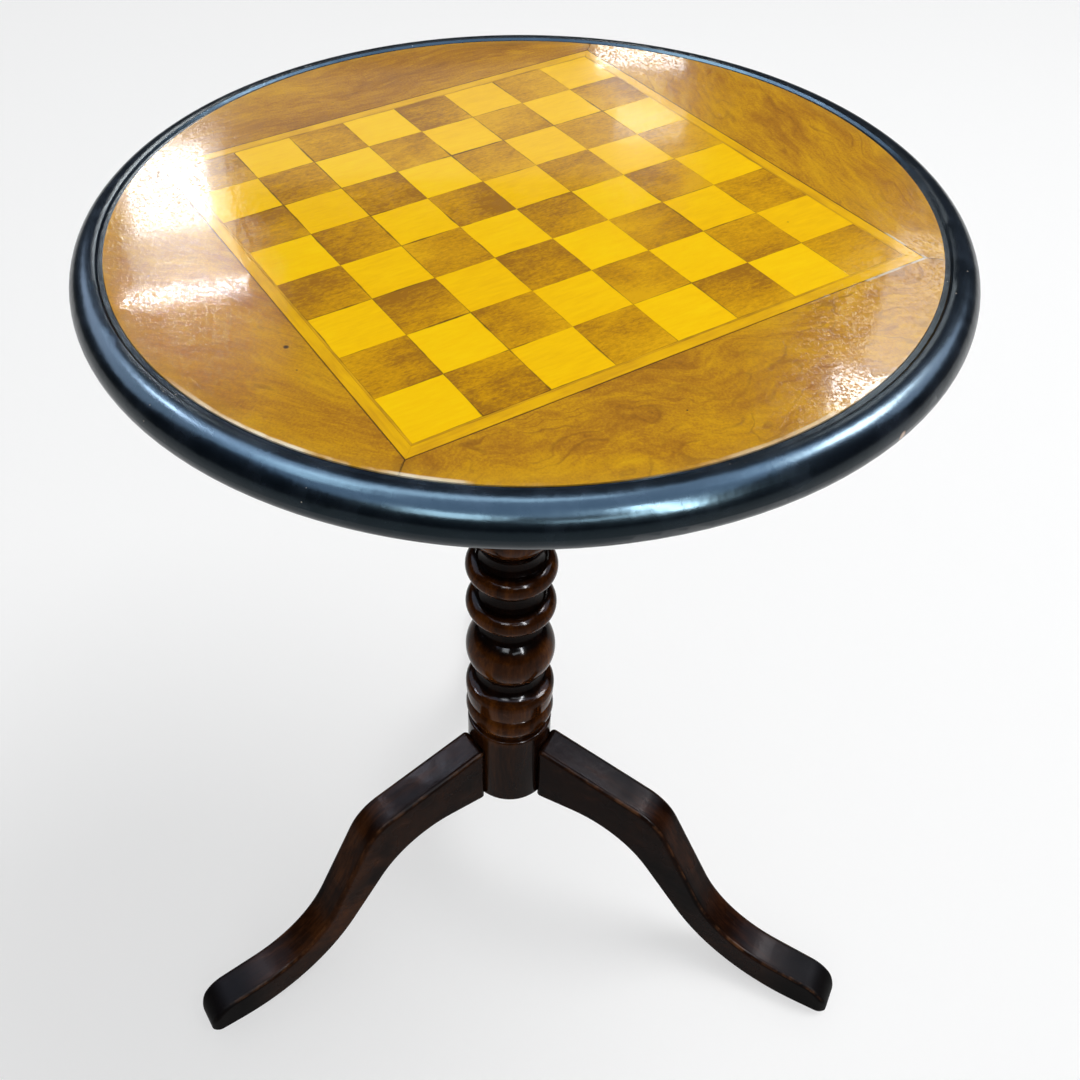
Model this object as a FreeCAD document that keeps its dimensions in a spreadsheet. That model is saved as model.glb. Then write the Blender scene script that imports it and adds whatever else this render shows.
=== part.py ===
import FreeCAD, Part
import math
import os
import Sketcher

# A tilt-top tripod chess table.
#
# Frame: millimetres, +Z up, the origin on the floor under the column's axis.  The odd leg points to +Y, and
# the top tips about the pins at the -Y end of the block, so that its face turns to -Y.  The board is square
# to X and Y, and the column with its legs stands a little round from it.

SHEET_NAME = "Sizes"

DRIVING_SIZES = [
    # the whole table
    ("table_height", 716.0, "floor to the playing surface"),
    # the veneered face
    ("veneer_thick", 1.2, "saw-cut veneer"),
    ("core_thick", 20.8, "ground under the veneer"),
    ("board_square", 41.3, "one square of the board"),
    ("line_wide", 1.4, "fine dark line round the squares"),
    ("string_wide", 7.0, "broad light string round the line"),
    ("corner_margin", 12.0, "corner of the string to the edge of the field"),
    ("knife_gap", 0.12, "joint between two pieces of veneer"),
    # the edge moulding
    ("rim_wide", 22.4, "edge of the core to the widest line of the moulding"),
    ("rim_depth", 28.0, "whole depth of the moulding"),
    ("rim_lip", 14.0, "width of the lip that the core rests on"),
    ("rim_glue_gap", 0.15, "round the edge of the core"),
    ("fillet_wide", 3.0, "flat fillet next to the field"),
    ("fillet_drop", 0.9, "how far the fillet lies under the field"),
    ("shoulder_rise", 0.5, "how far the shoulder stands over the field"),
    ("shoulder_ease", 1.6, "width of the rise from the fillet to the shoulder"),
    ("belly_drop", 15.0, "field to the widest line of the moulding"),
    ("under_reach", 14.0, "how far the underside falls in from the widest line"),
    # the bearers and their screws
    ("bearer_long", 400.0, "length along Y"),
    ("bearer_wide", 24.0, "width along X"),
    ("bearer_deep", 34.0, "depth under the core"),
    ("bearer_gap", 0.6, "between a bearer and the block"),
    ("bearer_nose_long", 60.0, "length of the slope at each end"),
    ("bearer_nose_thick", 12.0, "thickness at the very end"),
    ("bearer_edge", 1.5, "eased lower edges"),
    ("screw_shank", 2.25, "radius of a bearer screw"),
    ("screw_head", 4.5, "radius of its head"),
    ("screw_head_deep", 3.0, "depth of its countersunk head"),
    ("screw_sunk", 16.0, "how far the head is sunk in the bearer"),
    ("screw_bite", 13.0, "how far it reaches into the core"),
    ("screw_slot_wide", 1.0, "width of the driver slot"),
    ("screw_slot_deep", 1.1, "depth of the driver slot"),
    ("screw_fit", 0.05, "round a screw"),
    ("drill_past", 1.0, "how far a pilot hole goes past its screw"),
    ("bearer_screw_spread", 130.0, "from one bearer screw to the next"),
    # the block and its pins
    ("block_wide", 112.0, "block along X"),
    ("block_deep", 40.0, "block along Z"),
    ("block_back", 62.0, "column axis to the back end of the block"),
    ("pivot_forward", 46.0, "column axis to the pins, towards -Y"),
    ("tip_gap", 0.3, "between the block and the underside of the top"),
    ("block_edge", 2.0, "eased lower edges"),
    ("pin_radius", 5.0, "pivot pin"),
    ("pin_bed", 36.0, "length of a pin inside the block"),
    ("pin_fit", 0.06, "running clearance round a pin in its bearer"),
    ("pin_seat_fit", 0.02, "clearance round a pin in the block"),
    ("pin_end_gap", 1.0, "a pin stops this far inside the bearer's outer face"),
    # the catch
    ("bolt_wide", 12.0, "bolt along X"),
    ("bolt_thick", 5.0, "bolt along Z"),
    ("bolt_long", 46.0, "bolt along Y"),
    ("bolt_travel", 8.0, "how far the bolt slides"),
    ("bolt_fit", 0.25, "clearance on each side of the bolt"),
    ("bolt_nose", 3.0, "sloped nose of the bolt"),
    ("case_gap", 3.0, "from the block to the catch case"),
    ("case_wide", 34.0, "flange of the catch case along X"),
    ("case_long", 52.0, "catch case along Y"),
    ("case_body_wide", 20.0, "raised part of the case along X"),
    ("case_deep", 12.0, "raised part of the case along Z"),
    ("case_flange", 2.0, "thickness of the flange"),
    ("case_edge", 1.0, "eased edges of the case"),
    ("spring_space", 2.0, "height of the space for the bow spring"),
    ("spring_thick", 0.4, "thickness of the bow spring"),
    ("spring_long", 30.0, "length of the bow spring"),
    ("spring_wide", 8.0, "width of the bow spring"),
    ("spring_end_gap", 1.0, "past each end of the bow spring"),
    ("knob_stem", 2.4, "radius of the knob's stem"),
    ("knob_radius", 6.0, "radius of the knob"),
    ("knob_drop", 9.0, "knob below the case"),
    ("knob_back", 20.0, "bolt's tip to the knob"),
    ("knob_slot_fit", 0.5, "clearance round the stem in its slot"),
    ("small_screw_shank", 1.4, "radius of a small screw"),
    ("small_screw_head", 2.6, "radius of its head"),
    ("small_screw_long", 12.0, "length of a small screw"),
    ("small_slot_wide", 0.6, "width of its driver slot"),
    ("small_slot_deep", 0.7, "depth of its driver slot"),
    ("keeper_wide", 40.0, "keeper plate along X"),
    ("keeper_tall", 20.0, "keeper plate along Z"),
    ("keeper_thick", 2.0, "keeper plate along Y"),
    ("keeper_drop", 1.5, "from the block's top to the plate"),
    ("keeper_screw_reach", 14.5, "centre of the plate to its screws"),
    ("keeper_slack", 0.8, "round the bolt in the keeper"),
    # the head of the column
    ("tenon_radius", 17.0, "tenon through the block"),
    ("tenon_fit", 0.05, "round the tenon"),
    ("tenon_short", 1.0, "the tenon ends this far below the top of the block"),
    ("wedge_thick", 3.0, "wedge at its head"),
    ("wedge_tip", 1.4, "wedge at its tip"),
    ("wedge_long", 26.0, "length of the wedge"),
    ("wedge_fit", 0.05, "round the wedge"),
    # the turned column, from the foot up
    ("stand_turn", 1.6, "the column and its legs stand this many degrees round from the board"),
    ("pillar_foot", 133.5, "floor to the foot of the column"),
    ("pillar_radius", 36.2, "drum that takes the legs"),
    ("pillar_tall", 81.5, "height of that drum"),
    ("drum_ease", 2.0, "rounding at the ends of a drum"),
    ("groove_radius", 32.0, "bottom of the small grooves"),
    ("groove_low_tall", 3.5, "height of the groove over the leg drum"),
    ("groove_tall", 2.6, "height of the groove between the ring and the band"),
    ("ring_radius", 37.5, "ring"),
    ("ring_bend", 13.7, "radius of its rounding"),
    ("band_radius", 37.4, "band"),
    ("band_in", 1.0, "how far its side draws in towards the ring"),
    ("band_tall", 14.0, "height of its side"),
    ("band_round", 9.0, "radius of its rounding towards the ball"),
    ("band_round_in", 2.6, "how far that rounding draws in"),
    ("band_cove_tall", 17.3, "height of the cove from the band to the ball"),
    ("band_cove_bend", 13.0, "radius of that cove"),
    ("neck_radius", 26.5, "ends of the hollows"),
    ("hollow_deep", 3.5, "how far the hollows sink between their ends"),
    ("ball_radius", 37.1, "ball"),
    ("ball_bend", 29.7, "radius of the ball's side"),
    ("ball_hollow_tall", 19.2, "hollow between the ball and a bead"),
    ("bead_radius", 36.7, "bead"),
    ("bead_bend", 10.3, "radius of its rounding"),
    ("bead_hollow_tall", 21.2, "hollow between the two beads"),
    ("cap_radius", 33.0, "cap of the turned group"),
    ("cap_tall", 12.0, "height of the cap"),
    ("stem_radius_low", 23.0, "shaft over the cap"),
    ("stem_radius_high", 26.0, "shaft under the collar"),
    ("stem_cove", 8.0, "radius of the coves at the ends of the shaft"),
    ("astragal_radius", 32.5, "small bead over the shaft"),
    ("astragal_bend", 5.0, "radius of its rounding"),
    ("collar_radius", 34.0, "collar under the block"),
    ("collar_tall", 16.0, "height of the collar"),
    ("collar_groove_tall", 4.8, "height of the groove under the collar"),
    # the legs
    ("leg_thick", 30.0, "thickness of a leg"),
    ("leg_top", 196.6, "top of a leg at the column"),
    ("knee_back", 169.1, "end of the toe to the corner of the knee"),
    ("knee_height", 164.0, "and over the floor"),
    ("knee_round", 46.0, "radius over the knee"),
    ("ankle_back", 104.4, "end of the toe to the corner over the ankle"),
    ("ankle_height", 40.3, "and over the floor"),
    ("ankle_round", 95.0, "radius over the ankle"),
    ("toe_reach", 316.0, "end of the toe"),
    ("toe_height", 26.0, "thickness of the toe"),
    ("toe_round", 27.0, "radius over the toe"),
    ("toe_corner", 9.5, "rounding of the toe in plan"),
    ("saw_past", 5.0, "how far the waste at the toe reaches past the leg"),
    ("heel_back", 99.4, "end of the toe to where the line of the underside meets the floor"),
    ("heel_round", 145.0, "radius under the ankle"),
    ("arch_back", 200.8, "end of the toe to the corner under the knee"),
    ("arch_height", 133.8, "and over the floor"),
    ("arch_round", 90.0, "radius under the knee"),
    ("arris_round", 4.0, "softened upper edges of a leg"),
    ("under_arris", 1.2, "softened lower edges of a leg"),
    ("tongue_deep", 14.0, "dovetail tongue into the column"),
    ("tongue_root", 12.0, "width of the tongue at the shoulder"),
    ("tongue_wide", 17.0, "width of the tongue at its inner end"),
    ("tongue_top_drop", 12.0, "top of the leg to the top of the tongue"),
    ("tongue_fit", 0.08, "round the tongue in its socket"),
]

doc = FreeCAD.newDocument("TiltTopChessTable")


# ---------------------------------------------------------------------------------------------------------
# sizes
# ---------------------------------------------------------------------------------------------------------

class Size:
    """A length that keeps its number beside the sheet expression that gives it."""

    def __init__(self, value, text):
        self.value = float(value)
        self.text = text

    def __add__(self, other):
        other = as_size(other)
        return Size(self.value + other.value, f"({self.text} + {other.text})")

    def __sub__(self, other):
        other = as_size(other)
        return Size(self.value - other.value, f"({self.text} - {other.text})")

    def __mul__(self, other):
        other = as_size(other)
        return Size(self.value * other.value, f"({self.text} * {other.text})")

    def __truediv__(self, other):
        other = as_size(other)
        return Size(self.value / other.value, f"({self.text} / {other.text})")

    def __neg__(self):
        return Size(-self.value, f"(0 - {self.text})")

    def __rmul__(self, other):
        return as_size(other) * self

    def __radd__(self, other):
        return as_size(other) + self

    def __rsub__(self, other):
        return as_size(other) - self

    def root(self):
        return Size(math.sqrt(self.value), f"sqrt({self.text})")

    def at_most(self, other):
        return Size(min(self.value, other.value), f"min({self.text}; {other.text})")


def as_size(number):
    """A plain number as a Size."""
    return number if isinstance(number, Size) else Size(number, repr(float(number)))


def fill_sheet(rows):
    """Write the driving sizes to the sheet and give each cell its name."""
    sheet = doc.addObject("Spreadsheet::Sheet", SHEET_NAME)
    for row, (name, value, note) in enumerate(rows, start=1):
        sheet.set(f"A{row}", name)
        sheet.set(f"B{row}", str(value))
        sheet.set(f"C{row}", note)
        sheet.setAlias(f"B{row}", name)
    doc.recompute()
    return {name: Size(value, f"{SHEET_NAME}.{name}") for name, value, _ in rows}


S = fill_sheet(DRIVING_SIZES)
ZERO = Size(0.0, "0")

# Places that more than one piece needs.
core_top = S["table_height"] - S["veneer_thick"]
core_under = core_top - S["core_thick"]
block_top = core_under - S["tip_gap"]
block_under = block_top - S["block_deep"]
pivot_height = core_under - S["block_deep"] / 2
board_half = 4 * S["board_square"]
line_half = board_half + S["line_wide"]
string_half = line_half + S["string_wide"]
field_radius = string_half * Size(2.0, "2").root() + S["corner_margin"]
rim_inside = field_radius + S["rim_glue_gap"]
top_radius = rim_inside + S["rim_wide"]
bearer_inner = S["block_wide"] / 2 + S["bearer_gap"]
case_front = S["block_back"] + S["case_gap"]
bolt_middle = core_under - S["case_flange"] - S["spring_space"] - S["bolt_fit"] - S["bolt_thick"] / 2
tongue_top = S["leg_top"] - S["tongue_top_drop"]
half_leg = S["leg_thick"] / 2
half_seat = half_leg - S["arris_round"]
leg_shoulder = (S["pillar_radius"] * S["pillar_radius"] - half_seat * half_seat).root()
tenon_top = block_top - S["tenon_short"]


# ---------------------------------------------------------------------------------------------------------
# drawing helpers
# ---------------------------------------------------------------------------------------------------------

def new_body(label):
    """An empty body whose label names its file."""
    body = doc.addObject("PartDesign::Body", label)
    body.Label = label
    return body


def origin_feature(body, role):
    """One of the body's own origin planes or axes."""
    for feature in body.Origin.OriginFeatures:
        if feature.Role == role:
            return feature
    raise ValueError(f"{body.Label} has no {role}")


def new_sketch(body, name, role="XY_Plane", lift=None):
    """A sketch on one of the body's planes, lifted along the plane's normal."""
    sketch = body.newObject("Sketcher::SketchObject", f"{body.Label}_{name}")
    sketch.AttachmentSupport = [(origin_feature(body, role), "")]
    sketch.MapMode = "FlatFace"
    if lift is not None:
        sketch.setExpression("AttachmentOffset.Base.z", lift.text)
    return sketch


def fix_point(sketch, geometry, end, point):
    """Tie one end of a line or arc to two sizes measured from the sketch's origin."""
    for kind, size in (("DistanceX", point[0]), ("DistanceY", point[1])):
        index = sketch.addConstraint(Sketcher.Constraint(kind, -1, 1, geometry, end, size.value))
        sketch.setExpression(f"Constraints[{index}]", size.text)


def arc_between(start, end, radius, turns_left):
    """The short arc of a given radius from start to end, and which of its ends is the start."""
    first = FreeCAD.Vector(start[0].value, start[1].value, 0)
    last = FreeCAD.Vector(end[0].value, end[1].value, 0)
    chord = last - first
    rise = math.sqrt(max(radius.value ** 2 - (chord.Length / 2) ** 2, 0.0))
    left = FreeCAD.Vector(-chord.y, chord.x, 0).normalize()
    centre = (first + last) * 0.5 + left * (rise if turns_left else -rise)
    angles = [math.atan2(p.y - centre.y, p.x - centre.x) for p in (first, last)]
    if not turns_left:
        angles.reverse()
    if angles[1] < angles[0]:
        angles[1] += 2 * math.pi
    circle = Part.Circle(centre, FreeCAD.Vector(0, 0, 1), radius.value)
    return Part.ArcOfCircle(circle, angles[0], angles[1]), (1, 2) if turns_left else (2, 1)


def upright_arc(across, rise):
    """The radius of an arc that starts upright and moves across by one size over the rise of another."""
    return (across * across + rise * rise) / (2 * across)


def draw_outline(sketch, points, arcs=None):
    """A closed outline through the points.  arcs gives (radius, turns left) for the side after a point."""
    arcs = arcs or {}
    ends = []
    for index, start in enumerate(points):
        end = points[(index + 1) % len(points)]
        if index in arcs:
            radius, turns_left = arcs[index]
            shape, pair = arc_between(start, end, radius, turns_left)
            geometry = sketch.addGeometry(shape)
            bound = sketch.addConstraint(Sketcher.Constraint("Radius", geometry, radius.value))
            sketch.setExpression(f"Constraints[{bound}]", radius.text)
        else:
            line = [FreeCAD.Vector(p[0].value, p[1].value, 0) for p in (start, end)]
            geometry, pair = sketch.addGeometry(Part.LineSegment(*line)), (1, 2)
        ends.append((geometry, pair))
        fix_point(sketch, geometry, pair[0], start)
    for index, (geometry, pair) in enumerate(ends):
        following, next_pair = ends[(index + 1) % len(ends)]
        sketch.addConstraint(Sketcher.Constraint("Coincident", geometry, pair[1], following, next_pair[0]))


def draw_circle(sketch, middle, radius):
    """A circle round a point of the sketch."""
    centre = FreeCAD.Vector(middle[0].value, middle[1].value, 0)
    geometry = sketch.addGeometry(Part.Circle(centre, FreeCAD.Vector(0, 0, 1), radius.value))
    bound = sketch.addConstraint(Sketcher.Constraint("Radius", geometry, radius.value))
    sketch.setExpression(f"Constraints[{bound}]", radius.text)
    fix_point(sketch, geometry, 3, middle)


def rectangle(low, high):
    """The corners of a rectangle, given its lowest and highest corner."""
    return [(low[0], low[1]), (high[0], low[1]), (high[0], high[1]), (low[0], high[1])]


def pad(body, sketch, length, middle=False, back=False):
    """Raise a sketch into a solid."""
    feature = body.newObject("PartDesign::Pad", f"{sketch.Name}_Pad")
    feature.Profile = sketch
    feature.Midplane = middle
    feature.Reversed = back
    feature.setExpression("Length", length.text)
    body.Tip = feature
    return feature


def pocket(body, sketch, length, middle=False, back=False):
    """Cut a sketch into the solid and make sure that it removed something."""
    doc.recompute()
    before = body.Shape.Volume
    feature = body.newObject("PartDesign::Pocket", f"{sketch.Name}_Pocket")
    feature.Profile = sketch
    feature.Midplane = middle
    feature.Reversed = back
    feature.setExpression("Length", length.text)
    body.Tip = feature
    doc.recompute()
    if not body.Shape.Volume < before:
        raise ValueError(f"{feature.Label} cuts nothing")
    return feature


def revolve(body, sketch):
    """Turn a sketch about its vertical axis."""
    feature = body.newObject("PartDesign::Revolution", f"{sketch.Name}_Turned")
    feature.Profile = sketch
    feature.ReferenceAxis = (sketch, ["V_Axis"])
    feature.Angle = 360
    body.Tip = feature
    return feature


def edges_where(feature, test):
    """The names of the feature's edges that pass a test."""
    doc.recompute()
    return [f"Edge{number}" for number, edge in enumerate(feature.Shape.Edges, start=1) if test(edge)]


def round_edges(body, feature, names, radius, label):
    """Round the named edges of a feature."""
    if not names:
        raise ValueError(f"{body.Label} has no edges for {label}")
    rounded = body.newObject("PartDesign::Fillet", f"{body.Label}_{label}")
    rounded.Base = (feature, names)
    rounded.setExpression("Radius", radius.text)
    body.Tip = rounded
    doc.recompute()
    return rounded


def is_straight(edge, direction):
    """True for a straight edge along a direction."""
    if not isinstance(edge.Curve, Part.Line):
        return False
    return edge.Curve.Direction.cross(direction).Length < SAME_WAY


def edge_middle(edge):
    """The point half way along an edge."""
    return edge.valueAt((edge.FirstParameter + edge.LastParameter) / 2)


# Straight edges this close to a direction, in radians, count as parallel to it.
SAME_WAY = 1e-3

X_AXIS = FreeCAD.Vector(1, 0, 0)
Y_AXIS = FreeCAD.Vector(0, 1, 0)
Z_AXIS = FreeCAD.Vector(0, 0, 1)

# Two places closer than this are the same.
SAME_PLACE = 0.01

# A cove that meets its shaft smoothly flares by this part of its radius over this much of its height.
COVE_FOOT = 0.4
COVE_TALL = 0.8


# ---------------------------------------------------------------------------------------------------------
# the top
# ---------------------------------------------------------------------------------------------------------

def screw_rows():
    """The places along Y of the screws in one bearer."""
    return [-S["bearer_screw_spread"], ZERO, S["bearer_screw_spread"]]


def bearer_middle(side):
    """The middle of a bearer along X; side is -1 or 1."""
    return side * (bearer_inner + S["bearer_wide"] / 2)


def case_screw_places():
    """The places of the catch case's four screws."""
    across = (S["case_wide"] + S["case_body_wide"]) / 4
    inset = S["case_long"] / 6
    ends = (case_front + inset, case_front + S["case_long"] - inset)
    return [(side * across, end) for side in (-1, 1) for end in ends]


def make_top_core():
    """The round ground, with pilot holes for every screw that bites in it."""
    body = new_body("top_core")
    sketch = new_sketch(body, "Disc", lift=core_under)
    draw_circle(sketch, (ZERO, ZERO), field_radius)
    pad(body, sketch, S["core_thick"])
    pilots = new_sketch(body, "Pilots", lift=core_under)
    for side in (-1, 1):
        for place in screw_rows():
            draw_circle(pilots, (bearer_middle(side), place), S["screw_shank"] + S["screw_fit"])
    pocket(body, pilots, S["screw_bite"] + S["drill_past"], back=True)
    small = new_sketch(body, "SmallPilots", lift=core_under)
    for place in case_screw_places():
        draw_circle(small, place, S["small_screw_shank"] + S["screw_fit"])
    pocket(body, small, S["small_screw_long"], back=True)
    return body


def make_edge_moulding():
    """The ring round the core: fillet, rounded shoulder, full belly, and a lip that the core rests on."""
    body = new_body("edge_moulding")
    sketch = new_sketch(body, "Section", role="XZ_Plane")
    field = S["table_height"]
    under = field - S["rim_depth"]
    fillet_edge = rim_inside + S["fillet_wide"]
    shoulder = fillet_edge + S["shoulder_ease"]
    belly = field - S["belly_drop"]
    points = [
        (rim_inside - S["rim_lip"], under),
        (top_radius - S["under_reach"], under),
        (top_radius, belly),
        (shoulder, field + S["shoulder_rise"]),
        (fillet_edge, field - S["fillet_drop"]),
        (rim_inside, field - S["fillet_drop"]),
        (rim_inside, core_under),
        (rim_inside - S["rim_lip"], core_under),
    ]
    under_bend = upright_arc(S["under_reach"], S["rim_depth"] - S["belly_drop"])
    belly_bend = upright_arc(top_radius - shoulder, S["belly_drop"] + S["shoulder_rise"])
    arcs = {1: (under_bend, True), 2: (belly_bend, True)}
    draw_outline(sketch, points, arcs)
    revolve(body, sketch)
    return body


def make_field_quarter(label, turns):
    """A veneer quarter between the string and the edge, mitred on the board's diagonals."""
    body = new_body(label)
    sketch = new_sketch(body, "Outline", lift=core_top)
    gap = S["knife_gap"]
    corner = string_half + gap
    reach = ((2 * field_radius * field_radius - gap * gap).root() - gap) / 2
    points = [
        (string_half, corner),
        (reach, reach + gap),
        (-reach, reach + gap),
        (-string_half, corner),
    ]
    draw_outline(sketch, points, {1: (field_radius, True)})
    pad(body, sketch, S["veneer_thick"])
    body.Placement = FreeCAD.Placement(FreeCAD.Vector(0, 0, 0), FreeCAD.Rotation(Z_AXIS, 90 * turns))
    return body


def make_squares(label, diagonal_up):
    """32 squares of one colour: a diagonal pair of squares, repeated four times each way."""
    body = new_body(label)
    sketch = new_sketch(body, "Pair", lift=core_top)
    half_gap = S["knife_gap"] / 2
    low = -board_half
    for step in (0, 1):
        across = low + step * S["board_square"]
        along = low + (step if diagonal_up else 1 - step) * S["board_square"]
        corner = (across + half_gap, along + half_gap)
        far = (across + S["board_square"] - half_gap, along + S["board_square"] - half_gap)
        draw_outline(sketch, rectangle(corner, far))
    first = pad(body, sketch, S["veneer_thick"])
    rows = body.newObject("PartDesign::LinearPattern", f"{label}_Rows")
    rows.Originals = [first]
    rows.Direction = (sketch, ["H_Axis"])
    rows.Direction2 = (sketch, ["V_Axis"])
    rows.Occurrences = 4
    rows.Occurrences2 = 4
    rows.setExpression("Length", (6 * S["board_square"]).text)
    rows.setExpression("Length2", (6 * S["board_square"]).text)
    body.Tip = rows
    return body


def make_strips(label, inner, outer):
    """Four mitred strips round the board, from inner to outer half width."""
    body = new_body(label)
    sketch = new_sketch(body, "Strip", lift=core_top)
    gap = S["knife_gap"] / 2
    points = [
        (inner, inner + gap),
        (outer - 2 * gap, outer - gap),
        (2 * gap - outer, outer - gap),
        (-inner, inner + gap),
    ]
    draw_outline(sketch, points)
    first = pad(body, sketch, S["veneer_thick"])
    around = body.newObject("PartDesign::PolarPattern", f"{label}_Round")
    around.Originals = [first]
    around.Axis = (sketch, ["N_Axis"])
    around.Angle = 360
    around.Occurrences = 4
    body.Tip = around
    return body


def make_bearer(label, side):
    """A batten under the top with sloped ends, bored for its pivot pin and its screws."""
    body = new_body(label)
    outline = new_sketch(body, "Side", role="YZ_Plane", lift=bearer_middle(side))
    under = core_under - S["bearer_deep"]
    half = S["bearer_long"] / 2
    tip = core_under - S["bearer_nose_thick"]
    points = [
        (half - S["bearer_nose_long"], under),
        (half, tip),
        (half, core_under),
        (-half, core_under),
        (-half, tip),
        (S["bearer_nose_long"] - half, under),
    ]
    draw_outline(outline, points)
    solid = pad(body, outline, S["bearer_wide"], middle=True)
    lower = edges_where(solid, lambda edge: edge_middle(edge).z < core_under.value - SAME_PLACE
                        and not is_straight(edge, X_AXIS) and not is_straight(edge, Z_AXIS))
    round_edges(body, solid, lower, S["bearer_edge"], "EasedEdges")
    pin_hole = new_sketch(body, "PinHole", role="YZ_Plane", lift=bearer_middle(side))
    draw_circle(pin_hole, (-S["pivot_forward"], pivot_height), S["pin_radius"] + S["pin_fit"])
    pocket(body, pin_hole, 2 * S["bearer_wide"], middle=True)
    shanks = new_sketch(body, "Shanks", lift=core_under)
    heads = new_sketch(body, "Heads", lift=under)
    for place in screw_rows():
        draw_circle(shanks, (bearer_middle(side), place), S["screw_shank"] + S["screw_fit"])
        draw_circle(heads, (bearer_middle(side), place), S["screw_head"] + S["screw_fit"])
    pocket(body, shanks, S["bearer_deep"])
    pocket(body, heads, S["screw_sunk"], back=True)
    return body


def make_screws(label, places, head_under, long, shank, head, head_deep, slot):
    """Slotted countersunk screws that point up; head_under is the height of the heads' faces."""
    body = new_body(label)
    shafts = new_sketch(body, "Shafts", lift=head_under)
    caps = new_sketch(body, "Caps", lift=head_under)
    slots = new_sketch(body, "Slots", lift=head_under)
    for place in places:
        draw_circle(shafts, place, shank)
        draw_circle(caps, place, head)
        low = (place[0] - slot[0] / 2, place[1] - 2 * head)
        high = (place[0] + slot[0] / 2, place[1] + 2 * head)
        draw_outline(slots, rectangle(low, high))
    pad(body, shafts, long)
    pad(body, caps, head_deep)
    pocket(body, slots, slot[1], back=True)
    return body


def make_bearer_screws():
    """Three screws in each bearer."""
    face = core_under - S["bearer_deep"] + S["screw_sunk"] - S["screw_head_deep"]
    places = [(bearer_middle(side), place) for side in (-1, 1) for place in screw_rows()]
    long = core_under + S["screw_bite"] - face
    slot = (S["screw_slot_wide"], S["screw_slot_deep"])
    return make_screws("bearer_screws", places, face, long, S["screw_shank"], S["screw_head"],
                       S["screw_head_deep"], slot)


def make_veneers():
    """Everything that is laid on the core."""
    for turns, label in enumerate(("field_back", "field_left", "field_front", "field_right")):
        make_field_quarter(label, turns)
    make_squares("dark_squares", diagonal_up=True)
    make_squares("light_squares", diagonal_up=False)
    make_strips("dark_lines", board_half, line_half)
    make_strips("border_strings", line_half, string_half)


# ---------------------------------------------------------------------------------------------------------
# the catch
# ---------------------------------------------------------------------------------------------------------

def make_catch_case():
    """A brass case with a flange, a channel for the bolt and a slot for its knob."""
    body = new_body("catch_case")
    flange = new_sketch(body, "Flange", lift=core_under)
    back = case_front + S["case_long"]
    draw_outline(flange, rectangle((-S["case_wide"] / 2, case_front), (S["case_wide"] / 2, back)))
    pad(body, flange, S["case_flange"], back=True)
    raised = new_sketch(body, "Raised", lift=core_under)
    half = S["case_body_wide"] / 2
    draw_outline(raised, rectangle((-half, case_front), (half, back)))
    shell = pad(body, raised, S["case_deep"], back=True)
    case_under = (core_under - S["case_deep"]).value
    lower = edges_where(shell, lambda edge: edge_middle(edge).z < case_under + SAME_PLACE)
    round_edges(body, shell, lower, S["case_edge"], "EasedEdges")
    channel = new_sketch(body, "Channel", role="XZ_Plane", lift=-case_front)
    side = S["bolt_wide"] / 2 + S["bolt_fit"]
    deep = S["bolt_thick"] / 2 + S["bolt_fit"]
    draw_outline(channel, rectangle((-side, bolt_middle - deep), (side, bolt_middle + deep)))
    pocket(body, channel, S["case_long"] - S["case_flange"])
    room = new_sketch(body, "SpringRoom", lift=bolt_middle)
    inset = (S["case_long"] - S["spring_long"]) / 2 - S["spring_end_gap"]
    draw_outline(room, rectangle((-side, case_front + inset), (side, back - inset)))
    pocket(body, room, S["bolt_thick"] / 2 + S["bolt_fit"] + S["spring_space"], back=True)
    slot = new_sketch(body, "KnobSlot", lift=bolt_middle)
    wide = S["knob_stem"] + S["knob_slot_fit"]
    knob_at = case_front + S["knob_back"]
    draw_outline(slot, rectangle((-wide, knob_at - S["bolt_travel"] - wide), (wide, knob_at + wide)))
    pocket(body, slot, S["case_deep"])
    holes = new_sketch(body, "Holes", lift=core_under)
    for place in case_screw_places():
        draw_circle(holes, place, S["small_screw_shank"] + S["screw_fit"])
    pocket(body, holes, S["case_flange"])
    return body


def make_catch_screws():
    """Four small screws through the flange of the case."""
    slot = (S["small_slot_wide"], S["small_slot_deep"])
    head_deep = S["case_flange"] / 2
    under = core_under - S["case_flange"] - head_deep
    return make_screws("catch_screws", case_screw_places(), under, S["small_screw_long"],
                       S["small_screw_shank"], S["small_screw_head"], head_deep, slot)


def make_catch_spring():
    """A thin bow spring that presses on the bolt, so that it stays where it is put."""
    body = new_body("catch_spring")
    sketch = new_sketch(body, "Bow", role="YZ_Plane")
    middle = case_front + S["case_long"] / 2
    roof = core_under - S["case_flange"]
    half = S["spring_long"] / 2
    floor = roof - S["spring_space"] + S["bolt_fit"] / 2
    sag = roof - floor - S["spring_thick"]
    radius = (half * half + sag * sag) / (2 * sag)
    points = [
        (middle - half, roof - S["spring_thick"]),
        (middle + half, roof - S["spring_thick"]),
        (middle + half, roof),
        (middle - half, roof),
    ]
    draw_outline(sketch, points, {0: (radius, True), 2: (radius, False)})
    pad(body, sketch, S["spring_wide"], middle=True)
    return body


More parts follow.
